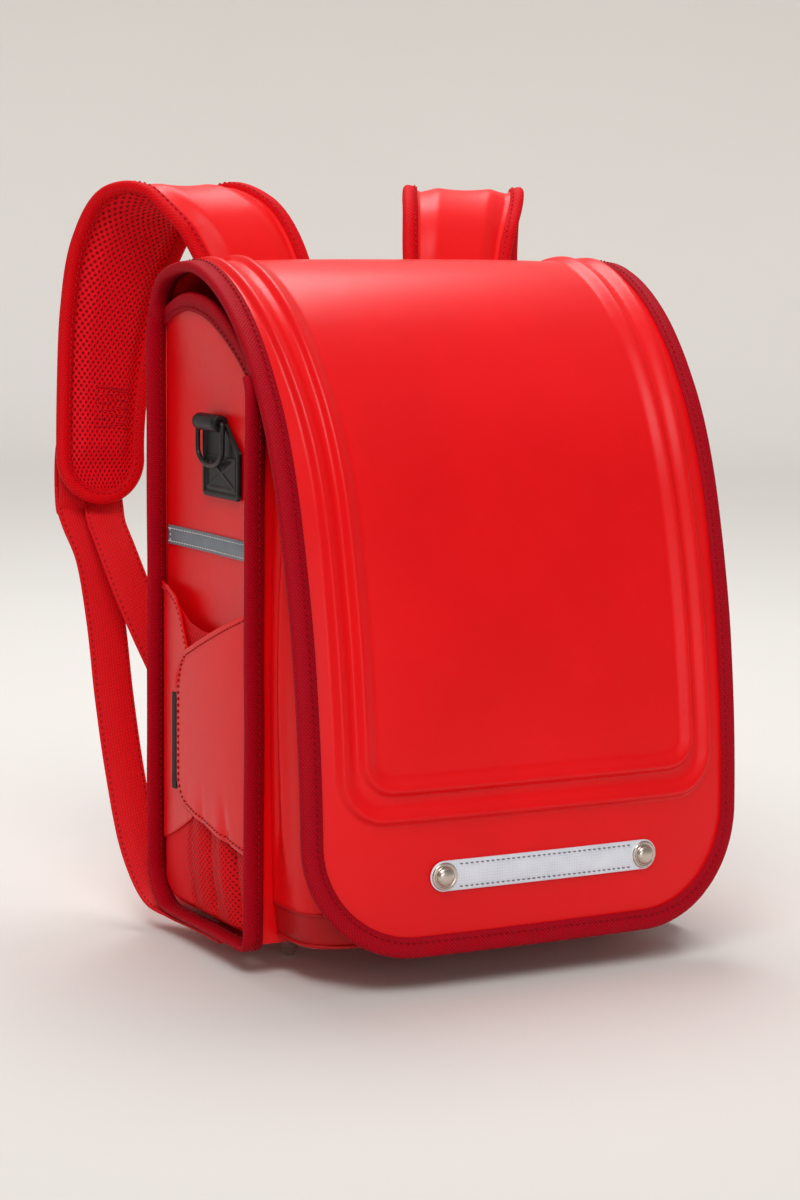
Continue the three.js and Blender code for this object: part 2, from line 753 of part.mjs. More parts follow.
const TAB = {
  thickness: 2.6,
  rows: 2,
  rollY: -71,
  rollZ: 286.5,
  rollRadius: 4.6,
  rollHalf: 13.6,
  rollSides: 10,
  rollLift: 0.2,
};
const TAB_SHAPE = [
  { y: -103, low: 249, high: 272 },
  { y: -101, low: 247, high: 274 },
  { y: -86, low: 247, high: 286.5 },
  { y: -59, low: 247, high: 286.5 },
  { y: -57, low: 249, high: 286.5 },
];
const RING = {
  wire: 1.35,
  wireSides: 6,
  halfBar: 15.6,
  legDrop: 5.5,
  bowZ: 14,
  bowHeight: 9,
  bowSteps: 6,
  bore: 2,
  boreSides: 8,
  boreOverrun: 3,
};
TAB.backX = sidePanelX(TAB.rollY, TAB.rollZ) + SIDE_SKIN + GAP;
TAB.rollX = TAB.backX + TAB.rollLift + TAB.rollRadius;

function tabPoint(side, u, v, offset) {
  // The tab lies on the side panel and follows its slight hollow.
  const y = TAB_SHAPE[Math.round(v * (TAB_SHAPE.length - 1))].y;
  const low = lookUp(TAB_SHAPE, 'y', 'low', y);
  const z = low + (lookUp(TAB_SHAPE, 'y', 'high', y) - low) * u;
  return new THREE.Vector3(side * (sidePanelX(y, z) + SIDE_SKIN + GAP + offset), y, z);
}

function rollCylinder(side, radius, halfLength, segments) {
  // The roll lies along Y, as a three.js cylinder does.
  const made = joined(new THREE.CylinderGeometry(radius, radius, 2 * halfLength, segments));
  return toSolid(made.translate(side * TAB.rollX, TAB.rollY, TAB.rollZ));
}

for (const side of [LEFT, RIGHT]) {
  const plate = sheet(TAB.rows, TAB_SHAPE.length - 1, (u, v) => tabPoint(side, u, v, TAB.thickness),
    (u, v) => tabPoint(side, u, v, 0));
  const roll = rollCylinder(side, TAB.rollRadius, TAB.rollHalf, TAB.rollSides);
  const bore = rollCylinder(side, RING.bore, TAB.rollHalf + RING.boreOverrun, RING.boreSides);
  add('ring_tab_' + sideName(side), fromSolid(toSolid(plate).add(roll).subtract(bore)), 'blackLeather');
  add('d_ring_' + sideName(side), ringGeometry(side), 'blackMetal');
}

function ringGeometry(side) {
  // A bar through the roll and a U that hangs below it.
  const path = [];
  path.push([-RING.halfBar, 0], [-RING.halfBar / 3, 0], [RING.halfBar / 3, 0], [RING.halfBar, 0]);
  path.push([RING.halfBar, -RING.legDrop]);
  for (const i of range(RING.bowSteps + 1)) {
    const angle = (i / RING.bowSteps) * Math.PI;
    path.push([RING.halfBar * Math.cos(angle), -RING.bowZ - RING.bowHeight * Math.sin(angle)]);
  }
  path.push([-RING.halfBar, -RING.legDrop]);
  const stations = path.map(([p, q], i) => {
    const before = path[(i + path.length - 1) % path.length];
    const after = path[(i + 1) % path.length];
    const along = new THREE.Vector3(0, after[0] - before[0], after[1] - before[1]).normalize();
    return {
      origin: new THREE.Vector3(side * TAB.rollX, TAB.rollY + p, TAB.rollZ + q),
      across: new THREE.Vector3(0, -along.z, along.y),
      out: new THREE.Vector3(1, 0, 0),
    };
  });
  const wire = range(RING.wireSides).map((i) => {
    const angle = (i / RING.wireSides) * 2 * Math.PI;
    return [RING.wire * Math.cos(angle), RING.wire * Math.sin(angle)];
  });
  return sweep(stations, wire, true);
}

// Side pockets, a gathered mesh cup under two leather pieces and a black elastic edge
const CUP = {
  clear: 1,
  swell: 4.1,
  swellZ: 21,
  swellRise: 30,
  flatShare: 0.25,
  thickness: 1.1,
  elasticThickness: 1,
  step: 1.5,
  lowGap: 2,
  backY: -9.5,
  frontY: -127,
};
const CUP_TOP = [
  { y: -127, z: 180 },
  { y: -95, z: 176 },
  { y: -68, z: 174 },
  { y: -49, z: 177 },
  { y: -33, z: 184 },
  { y: -9, z: 188 },
];
const BACK_PIECE = [
  { y: -61, low: 76, high: 158 },
  { y: -52, low: 70, high: 161 },
  { y: -46, low: 67, high: 171 },
  { y: -40, low: 64, high: 182 },
  { y: -34, low: 61, high: 189 },
  { y: -22, low: 56, high: 193.5 },
  { y: -9.5, low: 52, high: 195 },
];
const FRONT_PIECE = [
  { y: -127, low: 62, high: 192 },
  { y: -100, low: 66.5, high: 182 },
  { y: -72, low: 71.5, high: 171 },
  { y: -60, low: 74, high: 166 },
  { y: -50, low: 76, high: 162 },
  { y: -44, low: 79, high: 157 },
  { y: -40, low: 84, high: 150 },
  { y: -37.5, low: 90, high: 143 },
];
const ELASTIC = [
  { y: -36.5, low: 84, high: 137 },
  { y: -31.5, low: 84, high: 137 },
];

function cupX(y, z) {
  const across = Math.sin(Math.PI * clamp01((y - CUP.frontY) / (CUP.backY - CUP.frontY)));
  const up = smooth((z - CUP.swellZ) / CUP.swellRise);
  const swell = CUP.swell * Math.sqrt(across) * (CUP.flatShare + (1 - CUP.flatShare) * up);
  return WALL.halfWidth + CUP.clear + CUP.thickness / 2 + swell;
}

function cupSheet(side, rows, columns, table, layer, thickness) {
  const point = (u, v, offset) => {
    const y = table[0].y + (table[table.length - 1].y - table[0].y) * v;
    const low = lookUp(table, 'y', 'low', y);
    const z = low + (lookUp(table, 'y', 'high', y) - low) * u;
    return new THREE.Vector3(side * (cupX(y, z) + layer * CUP.step + offset), y, z);
  };
  return sheet(rows, columns, (u, v) => point(u, v, thickness / 2), (u, v) => point(u, v, -thickness / 2));
}

const CUP_TABLE = CUP_TOP.map((row) => ({ y: row.y, low: sideBottomZ(row.y) + CUP.lowGap, high: row.z }));
for (const side of [LEFT, RIGHT]) {
  const name = sideName(side);
  add('side_pocket_mesh_' + name, cupSheet(side, 6, 8, CUP_TABLE, 0, CUP.thickness), 'pocketMesh');
  add('side_pocket_back_piece_' + name, cupSheet(side, 4, 6, BACK_PIECE, 1, CUP.thickness), 'leather');
  add('side_pocket_front_piece_' + name, cupSheet(side, 4, 8, FRONT_PIECE, 2, CUP.thickness), 'leather');
  add('side_pocket_elastic_' + name, cupSheet(side, 3, 1, ELASTIC, 2, CUP.elasticThickness), 'blackElastic');
}

// Feet, four plain turned cones under the bottom
const FOOT = [
  { r: 0, z: 0 },
  { r: 3, z: 0 },
  { r: 6.5, z: 11 },
  { r: 7.5, z: 13 },
  { r: 7.5, z: WALL.bottomZ - GAP },
  { r: 0, z: WALL.bottomZ - GAP },
];
const FOOT_SIDES = 8;
const FOOT_X = 93;
const FOOT_ROWS = { front: -97, back: -26 };
for (const side of [LEFT, RIGHT]) {
  for (const [row, y] of Object.entries(FOOT_ROWS)) {
    const foot = lathe(FOOT, FOOT_SIDES);
    foot.translate(side * FOOT_X, y, 0);
    add('foot_' + row + '_' + sideName(side), foot, 'nickel');
  }
}

// Shoulder straps, padded bands that arch up and back from the top of the bag and hang behind it
const STRAP_LINE = [
  { x: 62, y: 3.2, z: 322 },
  { x: 62.5, y: 3.6, z: 346 },
  { x: 65, y: 10, z: 370 },
  { x: 75, y: 25, z: 395 },
  { x: 90, y: 47, z: 406.5 },
  { x: 103, y: 67, z: 399 },
  { x: 112, y: 80, z: 376 },
  { x: 119, y: 86, z: 340 },
  { x: 124, y: 87, z: 298 },
  { x: 127, y: 84, z: 262 },
  { x: 127.5, y: 79.5, z: 231.5 },
];
const STRAP = { rootHalf: 31.5, topHalf: 34, endHalf: 25, endRound: 25, edgeHalf: 1.15, padding: 3.9 };
const STRAP_TAPE = { play: 1.36, thickness: 1, cover: 6, clear: 0.55 };
const strapCurve = curveThrough(STRAP_LINE);
const strapLength = strapCurve.getLength();
const roundStart = 1 - STRAP.endRound / strapLength;

function strapHalfWidth(s) {
  const body = s < 0.4
    ? STRAP.rootHalf + (STRAP.topHalf - STRAP.rootHalf) * smooth(s / 0.4)
    : STRAP.topHalf + (STRAP.endHalf - STRAP.topHalf) * smooth((s - 0.4) / 0.5);
  if (s <= roundStart) return body;
  const past = Math.min(1, (s - roundStart) / (1 - roundStart));
  return body * Math.sqrt(Math.max(0, 1 - past * past));
}

function strapFrame(s) {
  const at = strapCurve.getPointAt(clamp01(s));
  const along = strapCurve.getTangentAt(clamp01(s));
  const across = new THREE.Vector3(1, 0, 0).addScaledVector(along, -along.x).normalize();
  const out = new THREE.Vector3().crossVectors(across, along).normalize();
  return { at, along, across, out };
}

function strapPoint(side, t, s, n) {
  const frame = strapFrame(s);
  const point = frame.at.clone();
  point.addScaledVector(frame.across, t);
  point.addScaledVector(frame.out, n);
  point.x *= side;
  return point;
}

function strapPadding(s) {
  return STRAP.padding * smooth((s - 0.06) / 0.16) * (1 - smooth((s - 0.89) / 0.055));
}

// Rows shared by both skins and the tape, closer together over the arch and round the end
const STRAP_ROWS = [
  ...range(4).map((i) => 0.004 + 0.03 * i),
  ...range(7).map((i) => 0.13 + 0.047 * i),
  ...range(4).map((i) => 0.48 + 0.12 * i),
  ...range(6).map((i) => roundStart + (1 - roundStart) * Math.sin((i / 5) * Math.PI * 0.47)),
];
const STRAP_COLUMNS = [
  { place: -1, fill: 0 },
  { place: -0.68, fill: 0 },
  { place: -0.42, fill: 0.9 },
  { place: 0, fill: 1 },
  { place: 0.42, fill: 0.9 },
  { place: 0.68, fill: 0 },
  { place: 1, fill: 0 },
];

function strapLayer(side, facing) {
  const rowS = (u) => STRAP_ROWS[Math.round(u * (STRAP_ROWS.length - 1))];
  const skin = (u, v) => {
    const s = rowS(u);
    const column = STRAP_COLUMNS[Math.round(v * (STRAP_COLUMNS.length - 1))];
    const t = column.place * strapHalfWidth(s);
    return strapPoint(side, t, s, facing * (STRAP.edgeHalf + column.fill * strapPadding(s)));
  };
  const middle = (u, v) => {
    const s = rowS(u);
    const column = STRAP_COLUMNS[Math.round(v * (STRAP_COLUMNS.length - 1))];
    return strapPoint(side, column.place * strapHalfWidth(s), s, facing * GAP / 2);
  };
  return sheet(STRAP_ROWS.length - 1, STRAP_COLUMNS.length - 1, skin, middle);
}

function strapBinding(side) {
  const path = STRAP_ROWS.map((s) => ({ t: -strapHalfWidth(s), s }));
  const back = path.map((p) => ({ t: -p.t, s: p.s })).reverse();
  const whole = path.concat([{ t: 0, s: 1 }], back);
  const mouth = STRAP.edgeHalf + STRAP_TAPE.play;
  const section = hookSection(mouth, STRAP_TAPE.thickness, STRAP_TAPE.cover, STRAP_TAPE.clear);
  const stations = whole.map((p, i) => {
    const before = whole[Math.max(0, i - 1)];
    const after = whole[Math.min(whole.length - 1, i + 1)];
    const origin = strapPoint(side, p.t, p.s, 0);
    const out = strapPoint(side, p.t, p.s, 1).sub(origin).normalize();
    const start = strapPoint(side, before.t, before.s, 0);
    const along = strapPoint(side, after.t, after.s, 0).sub(start).normalize();
    const across = new THREE.Vector3().crossVectors(along, out).normalize();
    across.multiplyScalar(-side);
    if (p.s <= roundStart) {
      // Beside the straight part the tape keeps to the skins' own rows.
      across.copy(strapPoint(side, p.t + Math.sign(p.t), p.s, 0).sub(origin)).normalize();
    }
    return { origin, across, out };
  });
  return sweep(stations, section);
}

for (const side of [LEFT, RIGHT]) {
  add('shoulder_strap_leather_' + sideName(side), strapLayer(side, 1), 'strapLeather');
  add('shoulder_strap_mesh_' + sideName(side), strapLayer(side, -1), 'airMesh');
  add('shoulder_strap_binding_' + sideName(side), strapBinding(side), 'strapTape');
}

// Cover sewn over the strap roots on the back
const COVER = { lowZ: 312, highZ: 332, thickness: 2, lift: 8.5, baseY: 0.6 };
const COVER_HALF = [
  { x: 0, raised: 0 },
  { x: 20, raised: 0 },
  { x: 26.5, raised: 1 },
  { x: 45, raised: 1 },
  { x: 79, raised: 1 },
  { x: 98, raised: 1 },
  { x: 105, raised: 0 },
  { x: 112, raised: 0 },
];
const COVER_MIRROR = COVER_HALF.slice(1).map((column) => ({ x: -column.x, raised: column.raised }));
const COVER_COLUMNS = [...COVER_MIRROR.reverse(), ...COVER_HALF];

function coverPoint(u, v, offset) {
  const column = COVER_COLUMNS[Math.round(v * (COVER_COLUMNS.length - 1))];
  const y = WALL.backOuterY + COVER.baseY + offset + COVER.lift * column.raised;
  return new THREE.Vector3(column.x, y, COVER.lowZ + (COVER.highZ - COVER.lowZ) * u);
}

add('strap_root_cover', sheet(1, COVER_COLUMNS.length - 1, (u, v) => coverPoint(u, v, COVER.thickness),
  (u, v) => coverPoint(u, v, 0)), 'leather');

// Webbing from a plain buckle behind each strap end: one run under the bag and one free tail
const BUCKLE = { x: 130, y: 93.3, z: 250.5, width: 46, depth: 5, height: 21 };
const ANCHOR_RUN = [
  { x: 139, y: 93.9, z: 239.2 },
  { x: 139, y: 93.6, z: 235 },
  { x: 139.5, y: 91.8, z: 229 },
  { x: 138, y: 87.5, z: 219 },
  { x: 133, y: 79, z: 200 },
  { x: 130, y: 70, z: 165 },
  { x: 130, y: 57, z: 120 },
  { x: 130, y: 41, z: 78 },
  { x: 130.5, y: 17, z: 38 },
  { x: 127, y: -5, z: 15.5 },
  { x: 123, y: -30, z: 11.2 },
  { x: 122, y: -60, z: 11.2 },
  { x: 122, y: -95, z: 11.2 },
];
const TAIL_RUN = [
  { x: 123, y: 91.2, z: 239.2 },
  { x: 123, y: 90.6, z: 235 },
  { x: 123.4, y: 88, z: 229 },
  { x: 125, y: 81, z: 220 },
  { x: 124, y: 69, z: 206 },
  { x: 119, y: 54, z: 180 },
  { x: 113, y: 43, z: 158 },
  { x: 106, y: 33, z: 136 },
  { x: 100, y: 26, z: 115 },
];
const WEB = { half: 12, halfThickness: 0.8, anchorSteps: 17, tailSteps: 10 };
const WEB_SECTION = [
  [-WEB.half, -WEB.halfThickness],
  [WEB.half, -WEB.halfThickness],
  [WEB.half, WEB.halfThickness],
  [-WEB.half, WEB.halfThickness],
];

function webbing(side, table, count) {
  const curve = curveThrough(table);
  const stations = range(count + 1).map((i) => {
    const at = curve.getPointAt(i / count);
    const along = curve.getTangentAt(i / count);
    const across = new THREE.Vector3(1, 0, 0).addScaledVector(along, -along.x).normalize();
    const out = new THREE.Vector3().crossVectors(across, along).normalize();
    for (const vector of [at, across, out]) vector.x *= side;
    return { origin: at, across, out };
  });
  return sweep(stations, WEB_SECTION);
}

for (const side of [LEFT, RIGHT]) {
  const buckle = new THREE.BoxGeometry(BUCKLE.width, BUCKLE.depth, BUCKLE.height);
  buckle.translate(side * BUCKLE.x, BUCKLE.y, BUCKLE.z);
  add('strap_buckle_' + sideName(side), joined(buckle), 'blackPlastic');
  add('strap_webbing_' + sideName(side), webbing(side, ANCHOR_RUN, WEB.anchorSteps), 'webbing');
  add('webbing_tail_' + sideName(side), webbing(side, TAIL_RUN, WEB.tailSteps), 'webbing');
}

export default group;
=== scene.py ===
import math

import bpy
import numpy as np
from mathutils import Matrix, Vector


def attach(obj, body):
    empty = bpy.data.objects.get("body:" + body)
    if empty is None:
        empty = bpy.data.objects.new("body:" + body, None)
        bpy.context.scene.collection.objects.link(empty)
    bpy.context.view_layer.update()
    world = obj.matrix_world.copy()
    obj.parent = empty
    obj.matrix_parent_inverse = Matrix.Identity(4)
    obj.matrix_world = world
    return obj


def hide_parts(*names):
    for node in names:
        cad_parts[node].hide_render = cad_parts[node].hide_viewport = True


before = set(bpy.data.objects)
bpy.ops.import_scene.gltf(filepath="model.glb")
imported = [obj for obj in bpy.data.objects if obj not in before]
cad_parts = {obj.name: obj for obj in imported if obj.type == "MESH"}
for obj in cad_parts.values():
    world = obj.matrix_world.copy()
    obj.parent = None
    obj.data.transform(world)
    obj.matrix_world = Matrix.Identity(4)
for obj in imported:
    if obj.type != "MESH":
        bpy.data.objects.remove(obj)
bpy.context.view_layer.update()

# Camera
# Stands off the bag's front left corner, about level with its top, as the photographer did.
# A long portrait lens with its frame held nearly level.
CAMERA_AZIMUTH = math.radians(28.28)
CAMERA_PITCH = math.radians(7.37)
CAMERA_ROLL = math.radians(0.56)
CAMERA_PLACE = (-0.765, -1.41427, 0.391)
LENS_MM = 87.06
SENSOR_MM = 36

camera_data = bpy.data.cameras.new("camera")
camera_data.lens = LENS_MM
camera_data.sensor_width = SENSOR_MM
camera = bpy.data.objects.new("camera", camera_data)
bpy.context.scene.collection.objects.link(camera)
bpy.context.scene.camera = camera
forward = Vector((
    math.sin(CAMERA_AZIMUTH) * math.cos(CAMERA_PITCH),
    math.cos(CAMERA_AZIMUTH) * math.cos(CAMERA_PITCH),
    -math.sin(CAMERA_PITCH),
))
level_right = Vector((math.cos(CAMERA_AZIMUTH), -math.sin(CAMERA_AZIMUTH), 0))
level_up = level_right.cross(forward)
right = level_right * math.cos(CAMERA_ROLL) + level_up * math.sin(CAMERA_ROLL)
up = level_up * math.cos(CAMERA_ROLL) - level_right * math.sin(CAMERA_ROLL)
camera.matrix_world = Matrix.Translation(CAMERA_PLACE) @ Matrix((right, up, -forward)).transposed().to_4x4()

# Studio
# A pale matt paper floor that curves up into a wall all round the bag.
# Lit by a soft key from the front left, a lamp over the crest, a low front fill, a window and an even sky.
PAPER_COLOUR = "#E6E3DF"
# Painted shade: the same paper is coloured darker up the wall to stand in for the light falling off there.
PAPER_WALL_SHADE_COLOUR = "#CCC8C3"
PAPER_RADIUS = 4.4
PAPER_CURVE = 1.3
PAPER_HEIGHT = 3.6
PAPER_STEPS = 12
PAPER_SIDES = 96
PAPER_GAP = 0.0003
LAMPS = {
    "key": {"place": (-1.15, -1.05, 2.15), "aim": (0, 0, 0.25), "size": 0.8, "watts": 13},
    "crest": {"place": (0.3, 0.8, 2.1), "aim": (0, 0, 0.36), "size": 1.1, "watts": 26},
    "low": {"place": (-0.5, -2.6, 0.4), "aim": (0, 0, 0.03), "size": 1.3, "watts": 10},
}
SUN = {"watts": 1.5, "angle": 34, "way": (0.32, 0.66, -0.62), "colour": "#FFFDFA"}
SKY = {"colour": "#F6F6F8", "strength": 0.42}


def linear(hex_colour):
    """An sRGB hex colour as the linear numbers that the shaders use."""
    parts = [int(hex_colour[i:i + 2], 16) / 255 for i in (1, 3, 5)]
    curved = [p / 12.92 if p <= 0.04045 else ((p + 0.055) / 1.055) ** 2.4 for p in parts]
    return (*curved, 1.0)


def add_node(tree, kind, settings=None, **links):
    """A node with its settings; numbers set its own sockets, and links are other nodes' outputs."""
    made = tree.nodes.new(kind)
    for name, value in (settings or {}).items():
        if hasattr(made, name):
            setattr(made, name, value)
        else:
            made.inputs[name.replace("_", " ")].default_value = value
    for name, output in links.items():
        socket = made.inputs[int(name[1:])] if name[1:].isdigit() else made.inputs[name.replace("_", " ")]
        tree.links.new(output, socket)
    return made


def new_material(name):
    """An empty node material with one principled shader, and both of its parts."""
    made = bpy.data.materials.new(name)
    made.use_nodes = True
    return made, made.node_tree, made.node_tree.nodes["Principled BSDF"]


def object_place(tree):
    return add_node(tree, "ShaderNodeTexCoord").outputs["Object"]


def noise(tree, place, scale, detail=2.0):
    made = add_node(tree, "ShaderNodeTexNoise", {"Scale": scale, "Detail": detail}, Vector=place)
    return made.outputs["Fac"]


def ramp(tree, value, low, high, low_at=0.0, high_at=1.0):
    """A colour that goes from low to high as a value rises from low_at to high_at."""
    made = add_node(tree, "ShaderNodeValToRGB", Fac=value)
    for element, colour, at in zip(made.color_ramp.elements, (low, high), (low_at, high_at)):
        element.color = linear(colour) if isinstance(colour, str) else colour
        element.position = at
    return made.outputs["Color"]


def dress(tree, shader, settings, **links):
    """Sets the shader's own sockets, and links the others to the outputs that drive them."""
    for name, value in settings.items():
        shader.inputs[name].default_value = value
    for name, output in links.items():
        tree.links.new(output, shader.inputs[name.replace("_", " ")])


def painted_paper():
    """Matt studio paper: pale on the floor, with painted shade that darkens it up the wall, and a faint
    cloudiness.
    """
    made, tree, shader = new_material("matt_paper")
    place = object_place(tree)
    spot = add_node(tree, "ShaderNodeSeparateXYZ", Vector=place)
    # Painted shade: the colour darkens with height up the wall, with a little cloudy noise on top.
    height = add_node(tree, "ShaderNodeMapRange", {"From_Max": 2.2}, Value=spot.outputs["Z"])
    cloud_and_shade = add_node(tree, "ShaderNodeMath", {"operation": "MULTIPLY_ADD"}, _0=noise(tree, place, 1.4, 3.0),
                      _2=height.outputs["Result"])
    cloud_and_shade.inputs[1].default_value = 0.2
    dress(tree, shader, {"Roughness": 0.9, "Specular IOR Level": 0.15},
          Base_Color=ramp(tree, cloud_and_shade.outputs["Value"], PAPER_COLOUR, PAPER_WALL_SHADE_COLOUR))
    return made


paper_profile = [(0.0, 0.0), (0.6, 0.0), (1.6, 0.0), (PAPER_RADIUS - PAPER_CURVE, 0.0)]
for step in range(1, PAPER_STEPS + 1):
    turned = step / PAPER_STEPS * math.pi / 2
    paper_profile.append((
        PAPER_RADIUS - PAPER_CURVE * (1 - math.sin(turned)),
        PAPER_CURVE * (1 - math.cos(turned)),
    ))
paper_profile.append((PAPER_RADIUS, PAPER_HEIGHT))
paper_points = []
for radius, height in paper_profile:
    for side in range(PAPER_SIDES):
        angle = side / PAPER_SIDES * 2 * math.pi
        paper_points.append((radius * math.cos(angle), radius * math.sin(angle), height - PAPER_GAP))
paper_faces = []
for ring in range(len(paper_profile) - 1):
    for side in range(PAPER_SIDES):
        after = (side + 1) % PAPER_SIDES
        here = ring * PAPER_SIDES
        above = here + PAPER_SIDES
        paper_faces.append((here + side, here + after, above + after, above + side))
paper_mesh = bpy.data.meshes.new("paper")
paper_mesh.from_pydata(paper_points, [], paper_faces)
paper_mesh.polygons.foreach_set("use_smooth", [True] * len(paper_faces))
paper_mesh.materials.append(painted_paper())
paper = bpy.data.objects.new("paper", paper_mesh)
bpy.context.scene.collection.objects.link(paper)

for name, lamp in LAMPS.items():
    light = bpy.data.lights.new(name, "AREA")
    light.shape = "SQUARE"
    light.size = lamp["size"]
    light.energy = lamp["watts"]
    holder = bpy.data.objects.new(name, light)
    holder.location = lamp["place"]
    holder.rotation_mode = "QUATERNION"
    holder.rotation_quaternion = (Vector(lamp["aim"]) - Vector(lamp["place"])).to_track_quat("-Z", "Y")
    bpy.context.scene.collection.objects.link(holder)
sun = bpy.data.lights.new("window", "SUN")
sun.energy = SUN["watts"]
sun.angle = math.radians(SUN["angle"])
sun.color = linear(SUN["colour"])[:3]
window = bpy.data.objects.new("window", sun)
window.rotation_mode = "QUATERNION"
window.rotation_quaternion = Vector(SUN["way"]).to_track_quat("-Z", "Y")
bpy.context.scene.collection.objects.link(window)
world = bpy.data.worlds.new("soft_sky")
world.use_nodes = True
sky = world.node_tree.nodes["Background"]
sky.inputs["Color"].default_value = linear(SKY["colour"])
sky.inputs["Strength"].default_value = SKY["strength"]
bpy.context.scene.world = world
bpy.context.scene.view_settings.view_transform = "Standard"

# Main compartment walls
# Polyurethane-coated leather over board, sewn into a box, with a lightly padded back.
# Pieces are drawn in the bag's own millimetres, its back near zero, and moved into the frame.
BAG_SHIFT_MM = 53.73
WALL_HALF = 124.9
BACK_Y = -1.2
BACK_LOW = 42.3
BACK_TOP = 336


def in_frame(points):
    """Points in bag millimetres as metres of the frame."""
    return (points.reshape(-1, 3) + (0, BAG_SHIFT_MM, 0)) * 0.001


def mesh_piece(name, points, faces, material, body):
    mesh = bpy.data.meshes.new(name)
    mesh.from_pydata(points.tolist(), [], faces.tolist())
    mesh.polygons.foreach_set("use_smooth", np.ones(len(faces), bool))
    mesh.materials.append(material)
    piece = bpy.data.objects.new(name, mesh)
    bpy.context.scene.collection.objects.link(piece)
    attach(piece, body)
    return piece


def grid_piece(name, grid, lay, material, nodes=(), closed=False, body="bag"):
    """A mesh from rows of points in bag millimetres, each row a loop, turned so that its faces look out.
    Its UV map, lay, holds true lengths in metres."""
    rows, columns = grid.shape[:2]
    points = in_frame(grid)
    i, j = np.meshgrid(np.arange(rows - (not closed)), np.arange(columns), indexing="ij")
    i, j = i.ravel(), j.ravel()
    corners = [(i, j), (i, j + 1), (i + 1, j + 1), (i + 1, j)]
    faces = np.stack([(a % rows) * columns + b % columns for a, b in corners], axis=1)
    places = np.stack([lay[a, b] for a, b in corners], axis=1)
    a, b, c, d = [points[faces[:, k]] for k in range(4)]
    if np.sum(np.cross(a, b) * c + np.cross(a, c) * d) < 0:
        faces, places = faces[:, ::-1], places[:, ::-1]
    piece = mesh_piece(name, points, faces, material, body)
    piece.data.uv_layers.new(name="lay").data.foreach_set("uv", places.astype(np.float32).ravel())
    if nodes:
        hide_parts(*nodes)
    return piece


def smooth(value):
    t = np.clip(value, 0, 1)
    return t * t * (3 - 2 * t)


def unit(vectors):
    return vectors / np.maximum(np.linalg.norm(vectors, axis=-1, keepdims=True), 1e-9)


def lengths(points):
    """How far each point of a path lies from its start."""
    return np.concatenate([[0], np.cumsum(np.linalg.norm(np.diff(points, axis=0), axis=1))])


EDGE_ROUND = 0.45


def skin_piece(name, outer, thickness, material, nodes=()):
    """A sheet of leather: an outer face of rows of points, rounded edges and a face behind it."""
    across = np.gradient(outer, axis=1)
    down = np.gradient(outer, axis=0)
    normal = unit(np.cross(across, down))
    rows, columns = outer.shape[:2]
    behind = outer + normal * thickness
    edge_out = unit(across)
    round_low = (outer[:, :1] + behind[:, :1]) / 2 - edge_out[:, :1] * thickness * EDGE_ROUND
    round_high = (outer[:, -1:] + behind[:, -1:]) / 2 + edge_out[:, -1:] * thickness * EDGE_ROUND
    loop = np.concatenate([outer, round_high, behind[:, ::-1], round_low], axis=1)
    swapped = np.concatenate([behind, round_high, outer[:, ::-1], round_low], axis=1)
    first = loop[:1] * 0.5 + swapped[:1] * 0.5
    last = loop[-1:] * 0.5 + swapped[-1:] * 0.5
    first = first - unit(down[:1]).mean(axis=1, keepdims=True) * thickness * EDGE_ROUND
    last = last + unit(down[-1:]).mean(axis=1, keepdims=True) * thickness * EDGE_ROUND
    grid = np.concatenate([first, loop, last], axis=0)
    u = np.concatenate([lengths(outer[rows // 2]), [0] * (columns + 2)]) * 0.001
    u[columns:] = u[columns - 1] + np.arange(1, columns + 3) / (columns + 2) * u[columns - 1]
    u = np.append(u, u[-1])
    v = lengths(grid[:, columns // 2]) * 0.001
    lay = np.stack(np.meshgrid(u, v), axis=-1)
    return grid_piece(name, grid, lay, material, nodes)


def rows_and_columns(rows, columns):
    return np.meshgrid(np.linspace(0, 1, rows), np.linspace(0, 1, columns), indexing="ij")


def bump(tree, height, strength, distance, normal=None, invert=False):
    made = add_node(tree, "ShaderNodeBump", {"Strength": strength, "Distance": distance, "invert": invert},
                    Height=height)
    if normal:
        tree.links.new(normal, made.inputs["Normal"])
    return made.outputs["Normal"]


LEATHER_GRAIN_MM = 0.9
LEATHER_GRAIN_DEPTH = 0.00006


def calendered_leather(name, colour, shade, roughness):
    """Smooth coated leather: pressed flat by rollers, so it keeps a faint pebble grain and a satin gloss."""
    made, tree, shader = new_material(name)
    place = object_place(tree)
    pebble = add_node(tree, "ShaderNodeTexVoronoi", {
        "Scale": 1000 / LEATHER_GRAIN_MM, "feature": "SMOOTH_F1"}, Vector=place)
    crease = noise(tree, place, 1000 / (LEATHER_GRAIN_MM * 6), 4.0)
    pressed = bump(tree, pebble.outputs["Distance"], 0.5, LEATHER_GRAIN_DEPTH)
    worn = add_node(tree, "ShaderNodeMapRange", {"To_Min": roughness - 0.05, "To_Max": roughness + 0.06},
                    Value=crease)
    settings = {"IOR": 1.5, "Specular IOR Level": 0.24, "Coat Weight": 0.03, "Coat Roughness": 0.25}
    dress(tree, shader, settings,
          Base_Color=ramp(tree, noise(tree, place, 14.0, 3.0), shade, colour, 0.3, 0.7),
          Roughness=worn.outputs["Result"],
          Normal=bump(tree, crease, 0.25, LEATHER_GRAIN_DEPTH * 3, pressed))
    return made


BODY_LEATHER = calendered_leather("calendered_red_leather", "#EC060F", "#E2050D", 0.34)
GUSSET_LEATHER = calendered_leather("dark_red_leather", "#BE0C14", "#B00A11", 0.45)

